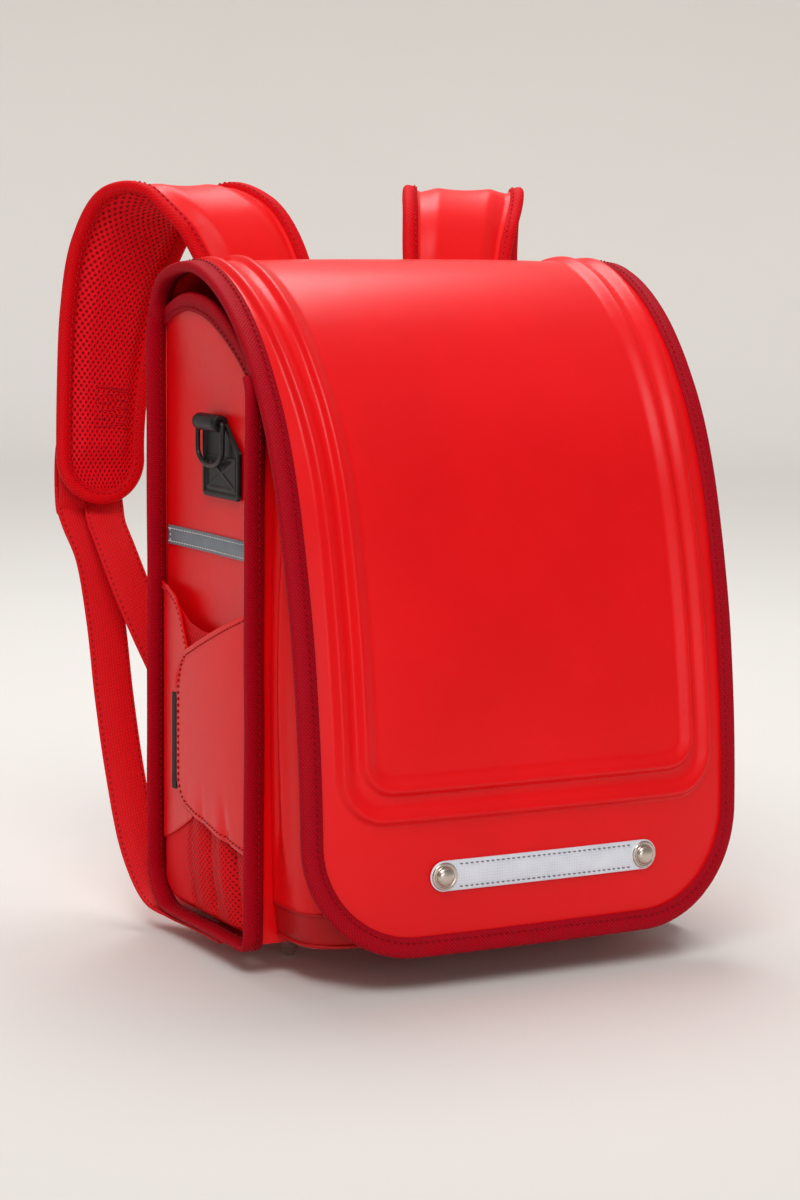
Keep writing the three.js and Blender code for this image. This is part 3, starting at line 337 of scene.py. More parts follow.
u, v = rows_and_columns(90, 80)
cushion = np.sin(math.pi * v) ** 0.5 * smooth(u / 0.14) * smooth((0.88 - u) / 0.14)
channel = np.exp(-((np.abs(2 * v - 1) - 0.36) / 0.035) ** 2)
channel = channel * smooth((0.86 - u) / 0.05) * smooth((u - 0.1) / 0.05)
back = np.stack([
    (2 * v - 1) * WALL_HALF,
    BACK_Y + 3.2 * cushion - 2.0 * channel * cushion,
    BACK_LOW + (BACK_TOP - BACK_LOW) * u,
], axis=-1)
skin_piece("back_wall", back, 4.6, BODY_LEATHER, ["back_panel"])
for name in ("bottom_panel", "front_panel"):
    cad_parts[name].data.materials.clear()
    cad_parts[name].data.materials.append(BODY_LEATHER)

# Side walls
# Soft coated leather set back between the seam fins, hollowed a little and opening out at the rim.
# The upper edge follows the arch under the flap.
RIM = np.array([
    (-127.4, 307), (-119, 318.5), (-109, 328.5), (-98, 337.5), (-86, 345), (-74, 350.5),
    (-60, 353.5), (-44, 354.5), (-30, 352.5), (-19, 349.5), (-8, 346), (-2, 344.5),
], float)
SIDE = {"x": 124, "back": -6.8, "front": -127.9, "dish": 1.6, "flare": 4.5, "flare_z": 297}
LEFT, RIGHT = -1, 1
SIDES = {"left": LEFT, "right": RIGHT}


def side_wall_x(y, z):
    arch = np.sin(math.pi * np.clip((y - SIDE["front"]) / (SIDE["back"] - SIDE["front"]), 0, 1))
    dish = SIDE["dish"] * arch * smooth((z - 40) / 60) * (1 - smooth((z - SIDE["flare_z"]) / 40))
    flare = SIDE["flare"] * arch ** 0.6 * smooth((z - SIDE["flare_z"]) / 50)
    return SIDE["x"] - dish + flare


def side_face(y, z):
    """The outer face of a side wall, with the shallow dents that handling leaves in the soft leather."""
    dent = 0.9 * np.exp(-((y + 40) / 14) ** 2) * smooth((z - 230) / 60) * smooth((318 - z) / 30)
    bulge = 0.35 * np.exp(-((y + 82) / 18) ** 2)
    return side_wall_x(y, z) + 0.9 - dent + bulge


def side_wall_low(y):
    corner = np.clip(y + 3.7 + 22, 0, None)
    return 18.8 + 20 - np.sqrt(np.maximum(0, 400 - corner ** 2))


def mirrored(points, side):
    """The left or right copy of points drawn on the right, with its rows turned so both face out."""
    copy = points * (side, 1, 1)
    return copy if side == RIGHT else copy[:, ::-1]


u, v = rows_and_columns(110, 60)
y = SIDE["back"] + (SIDE["front"] - SIDE["back"]) * v
low = side_wall_low(y)
z = low + (np.interp(y, RIM[:, 0], RIM[:, 1]) - 1.6 - low) * u
side_wall = np.stack([side_face(y, z), y, z], axis=-1)
for name, side in SIDES.items():
    skin_piece("side_wall_" + name, mirrored(side_wall, side), 1.8, BODY_LEATHER,
               ["side_panel_" + name])

# Seam fins
# The edges of the box are sewn together and bound in ribbed polyester tape folded over the raw seam.
# Each fin runs down the back edge, along the bottom and up the front edge, stitched on both faces.
FIN = {
    "inner": 125.35, "depth": 10.65, "half": 1.6, "back": -4.6, "front": -130.4, "low": 14.6,
    "back_top": 340, "front_top": 303, "back_round": 24, "front_round": 6, "arch_round": 18,
}
TAPE_PITCH_MM = 1.1
WAVE_PERIOD = 2 * math.pi / 20


def lay_place(tree):
    return add_node(tree, "ShaderNodeUVMap", {"uv_map": "lay"}).outputs["UV"]


def bands(tree, lay, way, pitch_mm, **settings):
    """Even bands across the cloth, one for each pitch."""
    scale = WAVE_PERIOD * 1000 / pitch_mm
    return add_node(tree, "ShaderNodeTexWave", {"bands_direction": way, "Scale": scale, **settings},
                    Vector=lay).outputs["Fac"]


def product(tree, a, b):
    return add_node(tree, "ShaderNodeMath", {"operation": "MULTIPLY"}, _0=a, _1=b).outputs["Value"]


def ribbed_tape(name, colour, shade, rib_mm=TAPE_PITCH_MM):
    """Grosgrain tape: thick crossways threads under fine lengthways ones, so it shows even matt ribs."""
    made, tree, shader = new_material(name)
    lay = lay_place(tree)
    ribs = bands(tree, lay, "Y", rib_mm, Distortion=0.6, Detail=1.0, Detail_Scale=2.0)
    both = product(tree, ribs, bands(tree, lay, "DIAGONAL", rib_mm * 0.9, Distortion=0.3))
    dress(tree, shader, {"Roughness": 0.62, "Specular IOR Level": 0.1},
          Base_Color=ramp(tree, both, shade, colour, 0.0, 0.7), Normal=bump(tree, both, 0.8, 0.00022))
    return made


def darker(colour, share):
    return tuple(share * c for c in linear(colour)[:3]) + (1,)


def spun_thread(name, colour):
    """Bonded polyester sewing thread: a tight twist with a slight shine."""
    made, tree, shader = new_material(name)
    twist = noise(tree, object_place(tree), 2200.0)
    dress(tree, shader, {"Roughness": 0.5, "Specular IOR Level": 0.12},
          Base_Color=ramp(tree, twist, darker(colour, 0.6), colour))
    return made


BODY_TAPE = ribbed_tape("crimson_grosgrain", "#C4001C", "#980014")
RED_THREAD = spun_thread("red_thread", "#D81428")
DARK_THREAD = spun_thread("dark_red_thread", "#A40816")


def sweep_piece(name, path, across, out, section, material, nodes=(), closed=False, body="bag"):
    """A closed section, in columns across and out, carried along a path and closed at its ends."""
    section = np.asarray(section, float)
    rings = path[:, None] + across[:, None] * section[None, :, :1] + out[:, None] * section[None, :, 1:]
    if not closed:
        middle = rings.mean(axis=1, keepdims=True)
        ends = [middle + (rings - middle) * share for share in (0.02, 0.85)]
        rings = np.concatenate([ends[0][:1], ends[1][:1], rings, ends[1][-1:], ends[0][-1:]], axis=0)
    loop = np.vstack([section, section[:1]])
    u = lengths(np.column_stack([loop, np.zeros(len(loop))])) * 0.001
    middle_path = rings.mean(axis=1)
    v = lengths(np.vstack([middle_path, middle_path[:1]]) if closed else middle_path) * 0.001
    lay = np.stack(np.meshgrid(u, v), axis=-1)
    return grid_piece(name, rings, lay, material, nodes, closed, body)


STITCH_RINGS = 4
STITCH_SIDES = 5


def along_path(at, total, points):
    """The values of a path at distances from its start; total holds the distance of each of its points."""
    return np.stack([np.interp(at, total, column) for column in points.T], axis=-1)


def stitch_row(name, path, normal, colour, pitch=3.6, run=2.4, radius=0.42):
    """Machine stitches: short threads that stand on the surface and dip in at both ends."""
    path = np.asarray(path, float)
    normal = unit(np.asarray(normal, float))
    total = lengths(path)
    count = max(1, int(total[-1] / pitch))
    starts = (np.arange(count) + 0.5) * total[-1] / count
    steps = np.linspace(-0.5, 0.5, STITCH_RINGS)
    sides = np.arange(STITCH_SIDES) / STITCH_SIDES * 2 * math.pi
    at = starts[:, None] + steps[None] * run
    centre = along_path(at, total, path)
    face = unit(along_path(at, total, normal))
    along = unit(np.gradient(centre, axis=1))
    beside = unit(np.cross(along, face))
    lift = radius * (1.1 - 4.6 * steps ** 2 * 1.2)
    wide = radius * np.sqrt(np.clip(1 - (2 * steps) ** 4 * 0.96, 0, 1))
    rings = centre[:, :, None] + face[:, :, None] * (lift[None, :, None, None])
    rings = rings + beside[:, :, None] * (np.cos(sides)[None, None, :, None] * wide[None, :, None, None])
    rings = rings + face[:, :, None] * (np.sin(sides)[None, None, :, None] * wide[None, :, None, None])
    k, i, j = np.indices((count, STITCH_RINGS - 1, STITCH_SIDES))
    near = (k * STITCH_RINGS + i) * STITCH_SIDES
    far = near + STITCH_SIDES
    after = (j + 1) % STITCH_SIDES
    faces = np.stack([near + j, far + j, far + after, near + after], axis=-1).reshape(-1, 4)
    return mesh_piece(name, in_frame(rings), faces, colour, "bag")


def rounded_band(inner, outer, half, corner, steps=4):
    """The outline of a flat band between two distances across, with its outer corners rounded."""
    turns = np.linspace(0, math.pi / 2, steps)
    points = [(inner, -half)]
    points += [(outer - corner + corner * math.sin(t), -half + corner - corner * math.cos(t)) for t in turns]
    points += [(outer - corner + corner * math.cos(t), half - corner + corner * math.sin(t)) for t in turns]
    points += [(inner, half)]
    return points


def tape_section(tape):
    return rounded_band(tape["inner"], tape["outer"], tape["half"], tape["corner"], 6)


def fin_line():
    """Points down the back edge, round the lower corners and up the front edge, with the way out."""
    back, front, low = FIN["back"], FIN["front"], FIN["low"]
    wide, tight, arch = FIN["back_round"], FIN["front_round"], FIN["arch_round"]
    line = [(back, z, 1, 0) for z in np.linspace(FIN["back_top"], low + wide, 90)]
    line += [(back - wide * (1 - math.cos(t)), low + wide * (1 - math.sin(t)), math.cos(t), -math.sin(t))
             for t in np.linspace(0, math.pi / 2, 16)[1:]]
    line += [(y, low, 0, -1) for y in np.linspace(back - wide, front + tight, 40)[1:]]
    line += [(front + tight * (1 - math.sin(t)), low + tight * (1 - math.cos(t)), -math.sin(t), -math.cos(t))
             for t in np.linspace(0, math.pi / 2, 8)[1:]]
    line += [(front, z, -1, 0) for z in np.linspace(low + tight, FIN["front_top"], 96)[1:]]
    top = FIN["front_top"]
    line += [(front + arch * (1 - math.cos(t)), top + arch * math.sin(t), -math.cos(t), math.sin(t))
             for t in np.linspace(0, 0.6, 6)[1:]]
    return np.array(line)[:, :2], np.array(line)[:, 2:]


def steady(way, count):
    """The same direction at each point of a path."""
    return np.tile(np.array(way, float), (count, 1))


line, ways = fin_line()
for name, side in SIDES.items():
    wobble = 0.35 * np.sin(lengths(line) / 31) + 0.2 * np.sin(lengths(line) / 13)
    path = np.column_stack([side * (FIN["inner"] + wobble * 0.5), line])
    across = steady((side, 0, 0), len(line))
    out = np.column_stack([np.zeros(len(line)), ways])
    section = rounded_band(0, FIN["depth"], FIN["half"], 1.4)
    sweep_piece("seam_fin_" + name, path, across, out, section, BODY_TAPE, ["seam_flange_" + name])
    for face, way in (("outer", 1), ("inner", -1)):
        row = path + across * 3.0 + out * (way * FIN["half"])
        stitch_row(f"seam_fin_stitches_{face}_{name}", row, out * way, DARK_THREAD)

# Rim tapes
# The same ribbed tape, folded over the arched top edge of each side wall and sewn through both faces.
# Drawn as one soft band with a rounded fold at the rim.
RIM_TAPE = {"inner": -8.2, "outer": 1.5, "half": 2.5, "corner": 2.3, "seam": 6.2, "end": -2.4}
y = np.linspace(SIDE["front"], RIM_TAPE["end"], 90)
z = np.interp(y, RIM[:, 0], RIM[:, 1]) - 1.6
z = np.convolve(np.pad(z, 4, mode="edge"), np.ones(9) / 9, mode="valid")
for name, side in SIDES.items():
    path = np.column_stack([side * side_wall_x(y, z), y, z])
    lower = np.column_stack([side * side_wall_x(y, z - 8), y, z - 8])
    along = unit(np.gradient(path, axis=0))
    rise = path - lower
    rise = unit(rise - along * np.sum(rise * along, axis=1, keepdims=True))
    out = np.cross(along, rise) * side
    section = tape_section(RIM_TAPE)
    sweep_piece("rim_tape_" + name, path, rise, out, section, BODY_TAPE, ["rim_binding_" + name])
    facing = out * np.sign(out[:, :1] * side)
    stitch_row("rim_stitches_" + name, path - rise * RIM_TAPE["seam"] + facing * RIM_TAPE["half"], facing,
               DARK_THREAD)

# Flap
# One soft board-backed leather skin from the top of the back over the crest and down the front.
# Two U-shaped ribs are pressed into it from behind, and its cut edge is bound in ribbed tape.
FLAP_PROFILE = np.array([
    (-3, 337.6), (-5.5, 350), (-14, 360.5), (-33, 366.5), (-55, 367.5), (-75, 362), (-93, 352.5),
    (-110, 339), (-124, 323.5), (-135, 308), (-143.5, 294), (-151.5, 277), (-159.5, 255), (-166.5, 230),
    (-172.5, 205), (-177.5, 180), (-181.5, 152), (-184.5, 125), (-186.5, 95), (-187.5, 60), (-187.5, 20.5),
], float)
FLAP = {"top": 132.5, "low": 129, "corner": 60, "bow_top": 3, "bow_front": 9.5, "ease": 3.4}
FLAP_TAPE = {"inner": -9.5, "outer": 1.6, "half": 3.0, "corner": 2.6, "seam": 7.2}
OUTER_RIB = {"top": 117, "low": 109.5, "turn": 22, "end": 92}
INNER_RIB = {"top": 101.5, "low": 97.5, "turn": 15, "end": 106.5}


def smooth_curve(table, steps=40):
    """A curve through the rows of a table, close to an even spline, as many small straight steps."""
    gaps = np.sqrt(np.linalg.norm(np.diff(table, axis=0), axis=1))
    knots = np.concatenate([[0], np.cumsum(gaps)])
    slopes = np.gradient(table, knots, axis=0)
    made = []
    for i in range(len(table) - 1):
        t = np.linspace(0, 1, steps, endpoint=False)[:, None]
        width = knots[i + 1] - knots[i]
        made.append(
            (2 * t ** 3 - 3 * t ** 2 + 1) * table[i] + (t ** 3 - 2 * t ** 2 + t) * width * slopes[i]
            + (3 * t ** 2 - 2 * t ** 3) * table[i + 1] + (t ** 3 - t ** 2) * width * slopes[i + 1])
    return np.vstack([*made, table[-1:]])


flap_line = smooth_curve(FLAP_PROFILE)
flap_total = lengths(flap_line)
FLAP_LENGTH = flap_total[-1]
flap_way = unit(np.gradient(flap_line, axis=0))


def flap_half(s):
    straight = FLAP["top"] + (FLAP["low"] - FLAP["top"]) * s
    past = np.clip(s * FLAP_LENGTH - (FLAP_LENGTH - FLAP["corner"]), 0, FLAP["corner"])
    return straight - FLAP["corner"] + np.sqrt(np.maximum(0, FLAP["corner"] ** 2 - past ** 2))


def flap_point(x, s, lift=0.0):
    """A point on the flap, x across and s along it, standing off its middle layer by lift."""
    at = np.clip(s, 0, 1) * FLAP_LENGTH
    y, z = [np.interp(at, flap_total, flap_line[:, k]) for k in (0, 1)]
    way_y, way_z = [np.interp(at, flap_total, flap_way[:, k]) for k in (0, 1)]
    bow = FLAP["bow_top"] + (FLAP["bow_front"] - FLAP["bow_top"]) * smooth((s - 0.2) / 0.35)
    wide = FLAP["top"] + (FLAP["low"] - FLAP["top"]) * s
    reach = bow * smooth(s / 0.06) * (1 - np.abs(x / wide) ** FLAP["ease"]) + lift
    return np.stack([x, y + way_z * reach, z - way_y * reach], axis=-1)


def flap_out(x, s):
    over = flap_point(x + 0.5, s) - flap_point(x - 0.5, s)
    down = flap_point(x, np.minimum(s + 0.002, 1)) - flap_point(x, np.maximum(s - 0.002, 0))
    return -unit(np.cross(over, down))


def flap_s(z):
    """Where the falling front of the flap has height z."""
    front = flap_line[:, 0] < -60
    return np.interp(-z, -flap_line[front, 1], flap_total[front]) / FLAP_LENGTH


def rib_height(x, s, rib):
    """How far a pressed rib lifts the leather: it swells from inside the U and drops off crisply outside."""
    half = rib["top"] + (rib["low"] - rib["top"]) * smooth((s - 0.15) / 0.35)
    q_x = np.abs(x) - (half - rib["turn"])
    q_t = s * FLAP_LENGTH - (flap_s(rib["end"]) * FLAP_LENGTH - rib["turn"])
    corner = np.hypot(q_x, q_t) - rib["turn"]
    distance = np.where((q_x > 0) & (q_t > 0), corner, np.maximum(q_x, q_t) - rib["turn"])
    ridge = np.where(distance < 0.8, smooth((distance + 7.6) / 8.4), smooth((4.0 - distance) / 3.2))
    return 3.3 * ridge * smooth((s * FLAP_LENGTH - 14) / 30)


corner_start = 1 - FLAP["corner"] / FLAP_LENGTH
rib_low, rib_high = flap_s(84), flap_s(118)
flap_rows = np.concatenate([
    np.linspace(0, rib_high, 190, endpoint=False),
    np.linspace(rib_high, rib_low, 34, endpoint=False),
    np.linspace(rib_low, corner_start, 10, endpoint=False),
    corner_start + (1 - corner_start) * np.sin(np.linspace(0, math.pi / 2, 34)),
])
edge_columns = np.concatenate([np.linspace(0.69, 0.955, 40), [0.97, 0.985, 1.0]])
flap_columns = np.concatenate([-edge_columns[::-1], np.linspace(-0.68, 0.68, 56), edge_columns])
s = np.repeat(flap_rows[:, None], len(flap_columns), axis=1)
x = flap_half(s) * flap_columns[None]
ribs = np.maximum(rib_height(x, s, OUTER_RIB), rib_height(x, s, INNER_RIB))
ripple = 0.35 * np.sin(x / 37 + 3 * s) * np.sin(s * 21) * smooth((s - 0.3) / 0.2)
flap_outer = flap_point(x, s, 1.2 + ribs + ripple)
skin_piece("flap_leather", flap_outer, 2.2, BODY_LEATHER, ["flap"])

s_edge = np.concatenate([np.linspace(0.0, corner_start, 210, endpoint=False),
                         corner_start + (1 - corner_start) * np.sin(np.linspace(0, math.pi / 2, 46))])
x_edge = -flap_half(s_edge)
flat = FLAP["low"] - FLAP["corner"]
edge_x = np.concatenate([x_edge, np.linspace(-flat, flat, 60)[1:-1], -x_edge[::-1]])
edge_s = np.concatenate([s_edge, np.ones(58), s_edge[::-1]])
flap_edge = flap_point(edge_x, edge_s)
edge_out = flap_out(edge_x, edge_s)
edge_along = unit(np.gradient(flap_edge, axis=0))
edge_across = unit(np.cross(edge_along, edge_out))
sweep_piece("flap_tape", flap_edge, edge_across, edge_out, tape_section(FLAP_TAPE), BODY_TAPE,
            ["flap_binding"])
row = flap_edge - edge_across * FLAP_TAPE["seam"] + edge_out * FLAP_TAPE["half"]
stitch_row("flap_tape_stitches", row, edge_out, DARK_THREAD)

# Front pocket
# A soft coated leather shell, open at its top under the flap and sewn to a darker tray below.
# Its sides crease upright where they meet the bag, and a thin welt covers the lower seam.
POCKET = {
    "origin": -131, "back": -131.35, "half": 118.5, "swell": 3, "seam": 39.4, "top": 262, "power": 0.36,
}
POCKET_FRONT = np.array([
    (18, -177), (60, -178.5), (95, -177.5), (150, -171.5), (200, -162.5), (262, -147),
], float)
POCKET_COLUMNS = 220


def even_angles(count):
    """Angles that space points evenly round the pocket's rounded plan."""
    angle = np.linspace(0, math.pi, 4000)
    x = 120 * np.sign(np.cos(angle)) * np.abs(np.cos(angle)) ** POCKET["power"]
    y = 45 * np.abs(np.sin(angle)) ** POCKET["power"]
    run = lengths(np.column_stack([x, y]))
    return np.interp(np.linspace(0, run[-1], count), run, angle)


def pocket_plan(angle, half, depth):
    cosine, sine = np.cos(angle), np.sin(angle)
    x = half * np.sign(cosine) * np.abs(cosine) ** POCKET["power"]
    return x, POCKET["back"] - depth * np.abs(sine) ** POCKET["power"]


def pocket_depth(z):
    return POCKET["origin"] - np.interp(z, POCKET_FRONT[:, 0], POCKET_FRONT[:, 1])


angles = even_angles(POCKET_COLUMNS)
z = np.linspace(POCKET["seam"], POCKET["top"], 76)[:, None] * np.ones(POCKET_COLUMNS)
half = POCKET["half"] + POCKET["swell"] * np.sin(math.pi * np.clip((z - 20) / 260, 0, 1))
x, y = pocket_plan(angles[None], half, pocket_depth(z))
from_back = POCKET["back"] - y
tuck = 1.6 * np.exp(-((from_back - 6) / 3.2) ** 2)
tuck = tuck - 1.3 * np.exp(-((from_back - 15 - 2 * np.sin(z / 38)) / 4.5) ** 2)
tuck = 1.7 * tuck * smooth((z - 45) / 40)
x = x - np.sign(x) * tuck * (np.abs(x) > 100)
y = y + 0.5 * np.sin(x / 29) * np.sin(z / 41) * (np.abs(x) < 112)
skin_piece("front_pocket_leather", np.stack([x, y, z], axis=-1), 2.0, BODY_LEATHER, ["front_pocket"])

levels = np.array([39.2, 37, 34, 30, 26.5, 23.6, 22.2, 21.4, 21.0, 21.0, 21.0, 21.0])[::-1]
insets = np.array([0, 0.2, 0.5, 1.0, 1.4, 2.0, 3.2, 5.2, 8, 18, 30, 42.0])[::-1]
z = levels[:, None] * np.ones(POCKET_COLUMNS)
inset = insets[:, None]
x, y = pocket_plan(angles[None], POCKET["half"] - inset, pocket_depth(z) - inset)
skin_piece("front_pocket_tray", np.stack([x, y, z], axis=-1), 1.8, GUSSET_LEATHER, ["front_pocket_gusset"])


def round_section(radius, sides=10):
    angle = np.arange(sides) / sides * 2 * math.pi
    return np.column_stack([radius * np.cos(angle), radius * np.sin(angle)])


WELTS = {
    "pocket_seam_welt": {"level": 39.4, "inset": -0.2, "radius": 0.9},
    "pocket_foot_welt": {"level": 22.2, "inset": 2.4, "radius": 1.1},
}
for name, welt in WELTS.items():
    depth = pocket_depth(welt["level"]) - welt["inset"]
    x, y = pocket_plan(angles, POCKET["half"] - welt["inset"], depth)
    path = np.column_stack([x, y, np.full(POCKET_COLUMNS, welt["level"])])
    across = unit(np.cross(np.gradient(path, axis=0), (0, 0, 1)))
    sweep_piece(name, path, across, steady((0, 0, 1), POCKET_COLUMNS), round_section(welt["radius"]),
                GUSSET_LEATHER)

# Flap strip and rivets
# Silver reflective tape, sewn to the flap with grey thread and held by a domed rivet at each end.
# It sits a little to one side of the middle of the flap.
STRIP = {"x": 5.5, "half": 60.5, "z": 60.5, "half_width": 8, "seam": 5.9, "steps": 60}
STRIP_END = [(0, -0.6), (7.7, -0.6), (8.0, -0.3), (8.0, 0.1), (7.6, 0.35), (0, 0.35)]
RIVET = [
    (0, 0), (7.1, 0), (7.3, 0.5), (7.1, 1.0), (6.7, 1.35), (6.1, 1.4), (5.6, 1.1), (5.25, 1.0), (5.1, 1.6),
    (4.8, 2.3), (4.1, 2.95), (3.0, 3.4), (1.6, 3.62), (0, 3.7),
]


def soft_slab(half_width, half, corner, steps=3):
    """The outline of a flat slab with four rounded corners."""
    made = []
    for quarter, (side_x, side_y) in enumerate(((1, 1), (-1, 1), (-1, -1), (1, -1))):
        for turn in np.linspace(0, math.pi / 2, steps) + quarter * math.pi / 2:
            made.append((side_x * (half_width - corner) + corner * math.cos(turn),
                         side_y * (half - corner) + corner * math.sin(turn)))
    return made


def beaded_tape(name, colour, shade, cell_mm=1.5):
    """Retroreflective tape: glass beads under a clear film, silvery grey with small even cells."""
    made, tree, shader = new_material(name)
    lay = lay_place(tree)
    cells = add_node(tree, "ShaderNodeTexVoronoi", {
        "feature": "DISTANCE_TO_EDGE", "Scale": 1000 / cell_mm, "Randomness": 0.25}, Vector=lay)
    mix = add_node(tree, "ShaderNodeMath", {"operation": "ADD"}, _0=cells.outputs["Distance"],
                   _1=noise(tree, lay, 60.0))
    dress(tree, shader, {"Metallic": 0.25, "Roughness": 0.42},
          Base_Color=ramp(tree, mix.outputs["Value"], shade, colour, 0.35, 0.75),
          Normal=bump(tree, cells.outputs["Distance"], 0.4, 0.00005))
    return made


def lathe_piece(name, profile, centre, axis, material, nodes=(), sides=48):
    """A turned piece: a profile of radius and height carried round an axis through its centre."""
    axis = np.asarray(axis, float) / np.linalg.norm(axis)
    first = unit(np.cross(axis, (0.3, 0.2, 0.9)))
    second = np.cross(axis, first)
    angle = np.arange(sides) / sides * 2 * math.pi
    round_about = np.cos(angle)[:, None] * first + np.sin(angle)[:, None] * second
    profile = np.asarray(profile, float)
    grid = np.asarray(centre) + profile[:, :1, None] * round_about[None] + (profile[:, 1:] * axis)[:, None]
    u = np.arange(sides + 1) / sides * 2 * math.pi * profile[:, 0].max() * 0.001
    lay = np.stack(np.meshgrid(u, lengths(profile) * 0.001), axis=-1)
    return grid_piece(name, grid, lay, material, nodes)


def plated_nickel(name, colour, roughness):
    """Nickel-plated steel: a warm silver mirror with fine polishing marks and a little tarnish."""
    made, tree, shader = new_material(name)
    marks = noise(tree, object_place(tree), 900.0)
    gloss = add_node(tree, "ShaderNodeMapRange", {"To_Min": roughness * 0.7, "To_Max": roughness * 1.4},
                     Value=marks)
    dress(tree, shader, {"Metallic": 1.0}, Base_Color=ramp(tree, marks, darker(colour, 0.8), colour),
          Roughness=gloss.outputs["Result"])
    return made


FLAP_REFLECTOR = beaded_tape("silver_beaded_tape", "#E9EEF8", "#D3DAE8")
WHITE_THREAD = spun_thread("white_thread", "#E8E6E6")
GREY_THREAD = spun_thread("grey_thread", "#8C8790")
NICKEL = plated_nickel("plated_nickel", "#D6CCC0", 0.24)
strip_x = np.linspace(STRIP["x"] - STRIP["half"], STRIP["x"] + STRIP["half"], STRIP["steps"])
strip_s = np.full(STRIP["steps"], flap_s(STRIP["z"]))
path = flap_point(strip_x, strip_s, 2.2)
out = flap_out(strip_x, strip_s)
across = unit(np.cross(out, np.gradient(path, axis=0)))
sweep_piece("flap_strip", path, across, out, soft_slab(STRIP["half_width"], 0.7, 0.6), FLAP_REFLECTOR,
            ["flap_reflective_strip"])
for edge, way in (("upper", 1), ("lower", -1)):
    row = (path + across * (way * STRIP["seam"]) + out * 0.75)[4:-4]
    stitch_row("flap_strip_stitches_" + edge, row, out[4:-4], GREY_THREAD, 3.0, 2.1, 0.4)
for name, side in SIDES.items():
    rivet_x = np.array([STRIP["x"] + side * STRIP["half"]])
    seat = flap_point(rivet_x, strip_s[:1], 2.7)[0]
    axis = flap_out(rivet_x, strip_s[:1])[0]
    lathe_piece("flap_strip_end_" + name, STRIP_END, seat, axis, FLAP_REFLECTOR)
    lathe_piece("rivet_" + name, RIVET, seat, axis, NICKEL, ["flap_rivet_" + name])

# Feet
# Small turned nickel cones screwed up into the base board, so that the leather stays off the floor.
# Each has a rounded tip and a narrow collar where it meets the bag.
FOOT = [
    (0, 0), (1.6, 0.1), (2.6, 0.6), (3.2, 1.6), (4.4, 5), (6.3, 10.4), (6.7, 11.2), (7.3, 11.8), (7.5, 12.6),
    (7.5, 16.4), (7.2, 16.85), (0, 16.85),
]
FOOT_X = 93
FOOT_Y = {"front": -97, "back": -26}
for name, side in SIDES.items():
    for end, y in FOOT_Y.items():
        lathe_piece(f"foot_cone_{end}_{name}", FOOT, (side * FOOT_X, y, 0), (0, 0, 1), NICKEL,
                    [f"foot_{end}_{name}"], 40)

# Side strips
# A narrow grey reflective tape across each side.
# It is sewn with white thread along both edges and at its back end.
SIDE_STRIP = {"back": -10.5, "front": -126.5, "z": 221.25, "half_width": 5.25, "seam": 3.5, "steps": 70}
SIDE_REFLECTOR = beaded_tape("grey_beaded_tape", "#7E868F", "#69717A", 1.2)
for name, side in SIDES.items():
    y = np.linspace(SIDE_STRIP["back"], SIDE_STRIP["front"], SIDE_STRIP["steps"])
    z = np.full(len(y), SIDE_STRIP["z"])
    path = np.column_stack([side * (side_face(y, z) + 0.6), y, z])
    out = steady((side, 0, 0), len(y))
    across = steady((0, 0, 1), len(y))
    sweep_piece("side_strip_" + name, path, across, out, soft_slab(SIDE_STRIP["half_width"], 0.55, 0.45),
                SIDE_REFLECTOR, ["side_reflective_strip_" + name])
    for edge, way in (("upper", 1), ("lower", -1)):
        row = path + across * (way * SIDE_STRIP["seam"]) + out * 0.6
        stitch_row(f"side_strip_stitches_{edge}_{name}", row, out, WHITE_THREAD, 3.2, 2.0, 0.32)
    z = np.linspace(217, 225.5, 8)
    end_y = np.full(8, -13.5)
    row = np.column_stack([side * (side_face(end_y, z) + 1.2), end_y, z])
    stitch_row("side_strip_stitches_end_" + name, row, out[:8], WHITE_THREAD, 2.8, 1.9, 0.32)

# Ring tabs and rings
# A black leather tab, pressed with a raised rim and a crossed box and sewn to the side by the flap edge.
# Its upper end is rolled over the bar of a black lacquered wire ring, which hangs and swings there.
TAB_HIGH = np.array([(-103, 272), (-101, 274), (-86, 286.5), (-57, 286.5)], float)
TAB_LOW = np.array([(-103, 249), (-101, 247), (-59, 247), (-57, 249)], float)
TAB_EDGE = [*TAB_LOW.tolist(), *TAB_HIGH[::-1].tolist()]
TAB_BOX = [(-98, 252), (-62, 252), (-62, 268.5), (-98, 268.5)]
ROLL = {"y": -71, "z": 286.5, "radius": 4.6}
ROLL_PROFILE = [
    (2.0, -13.4), (3.9, -13.6), (4.5, -13.0), (4.6, -9), (4.6, 9), (4.5, 13.0), (3.9, 13.6), (2.0, 13.4),
    (2.0, -13.4),
]
RING = {"wire": 1.35, "half_bar": 15.6, "bow_z": 14, "bow_height": 9, "steps": 200, "bow_steps": 24}


def line_gap(y, z, a, b):
    """How far points lie from the straight line between a and b."""
    along = (b[0] - a[0], b[1] - a[1])
    share = ((y - a[0]) * along[0] + (z - a[1]) * along[1]) / (along[0] ** 2 + along[1] ** 2)
    share = np.clip(share, 0, 1)
    return np.hypot(y - a[0] - share * along[0], z - a[1] - share * along[1])


def nearest_line(y, z, lines):
    return np.min([line_gap(y, z, a, b) for a, b in lines], axis=0)


def lacquered_wire(name, colour):
    """Steel wire under black lacquer: dark, hard and glossy, rubbed a little along its length."""
    made, tree, shader = new_material(name)
    rubbed = noise(tree, object_place(tree), 260.0, 3.0)
    dress(tree, shader, {"Metallic": 0.5, "Roughness": 0.33},
          Base_Color=ramp(tree, rubbed, colour, "#3B3937"))
    return made


def loop_way(path):
    """The direction along a closed path at each of its points."""
    return unit(np.roll(path, -1, axis=0) - np.roll(path, 1, axis=0))


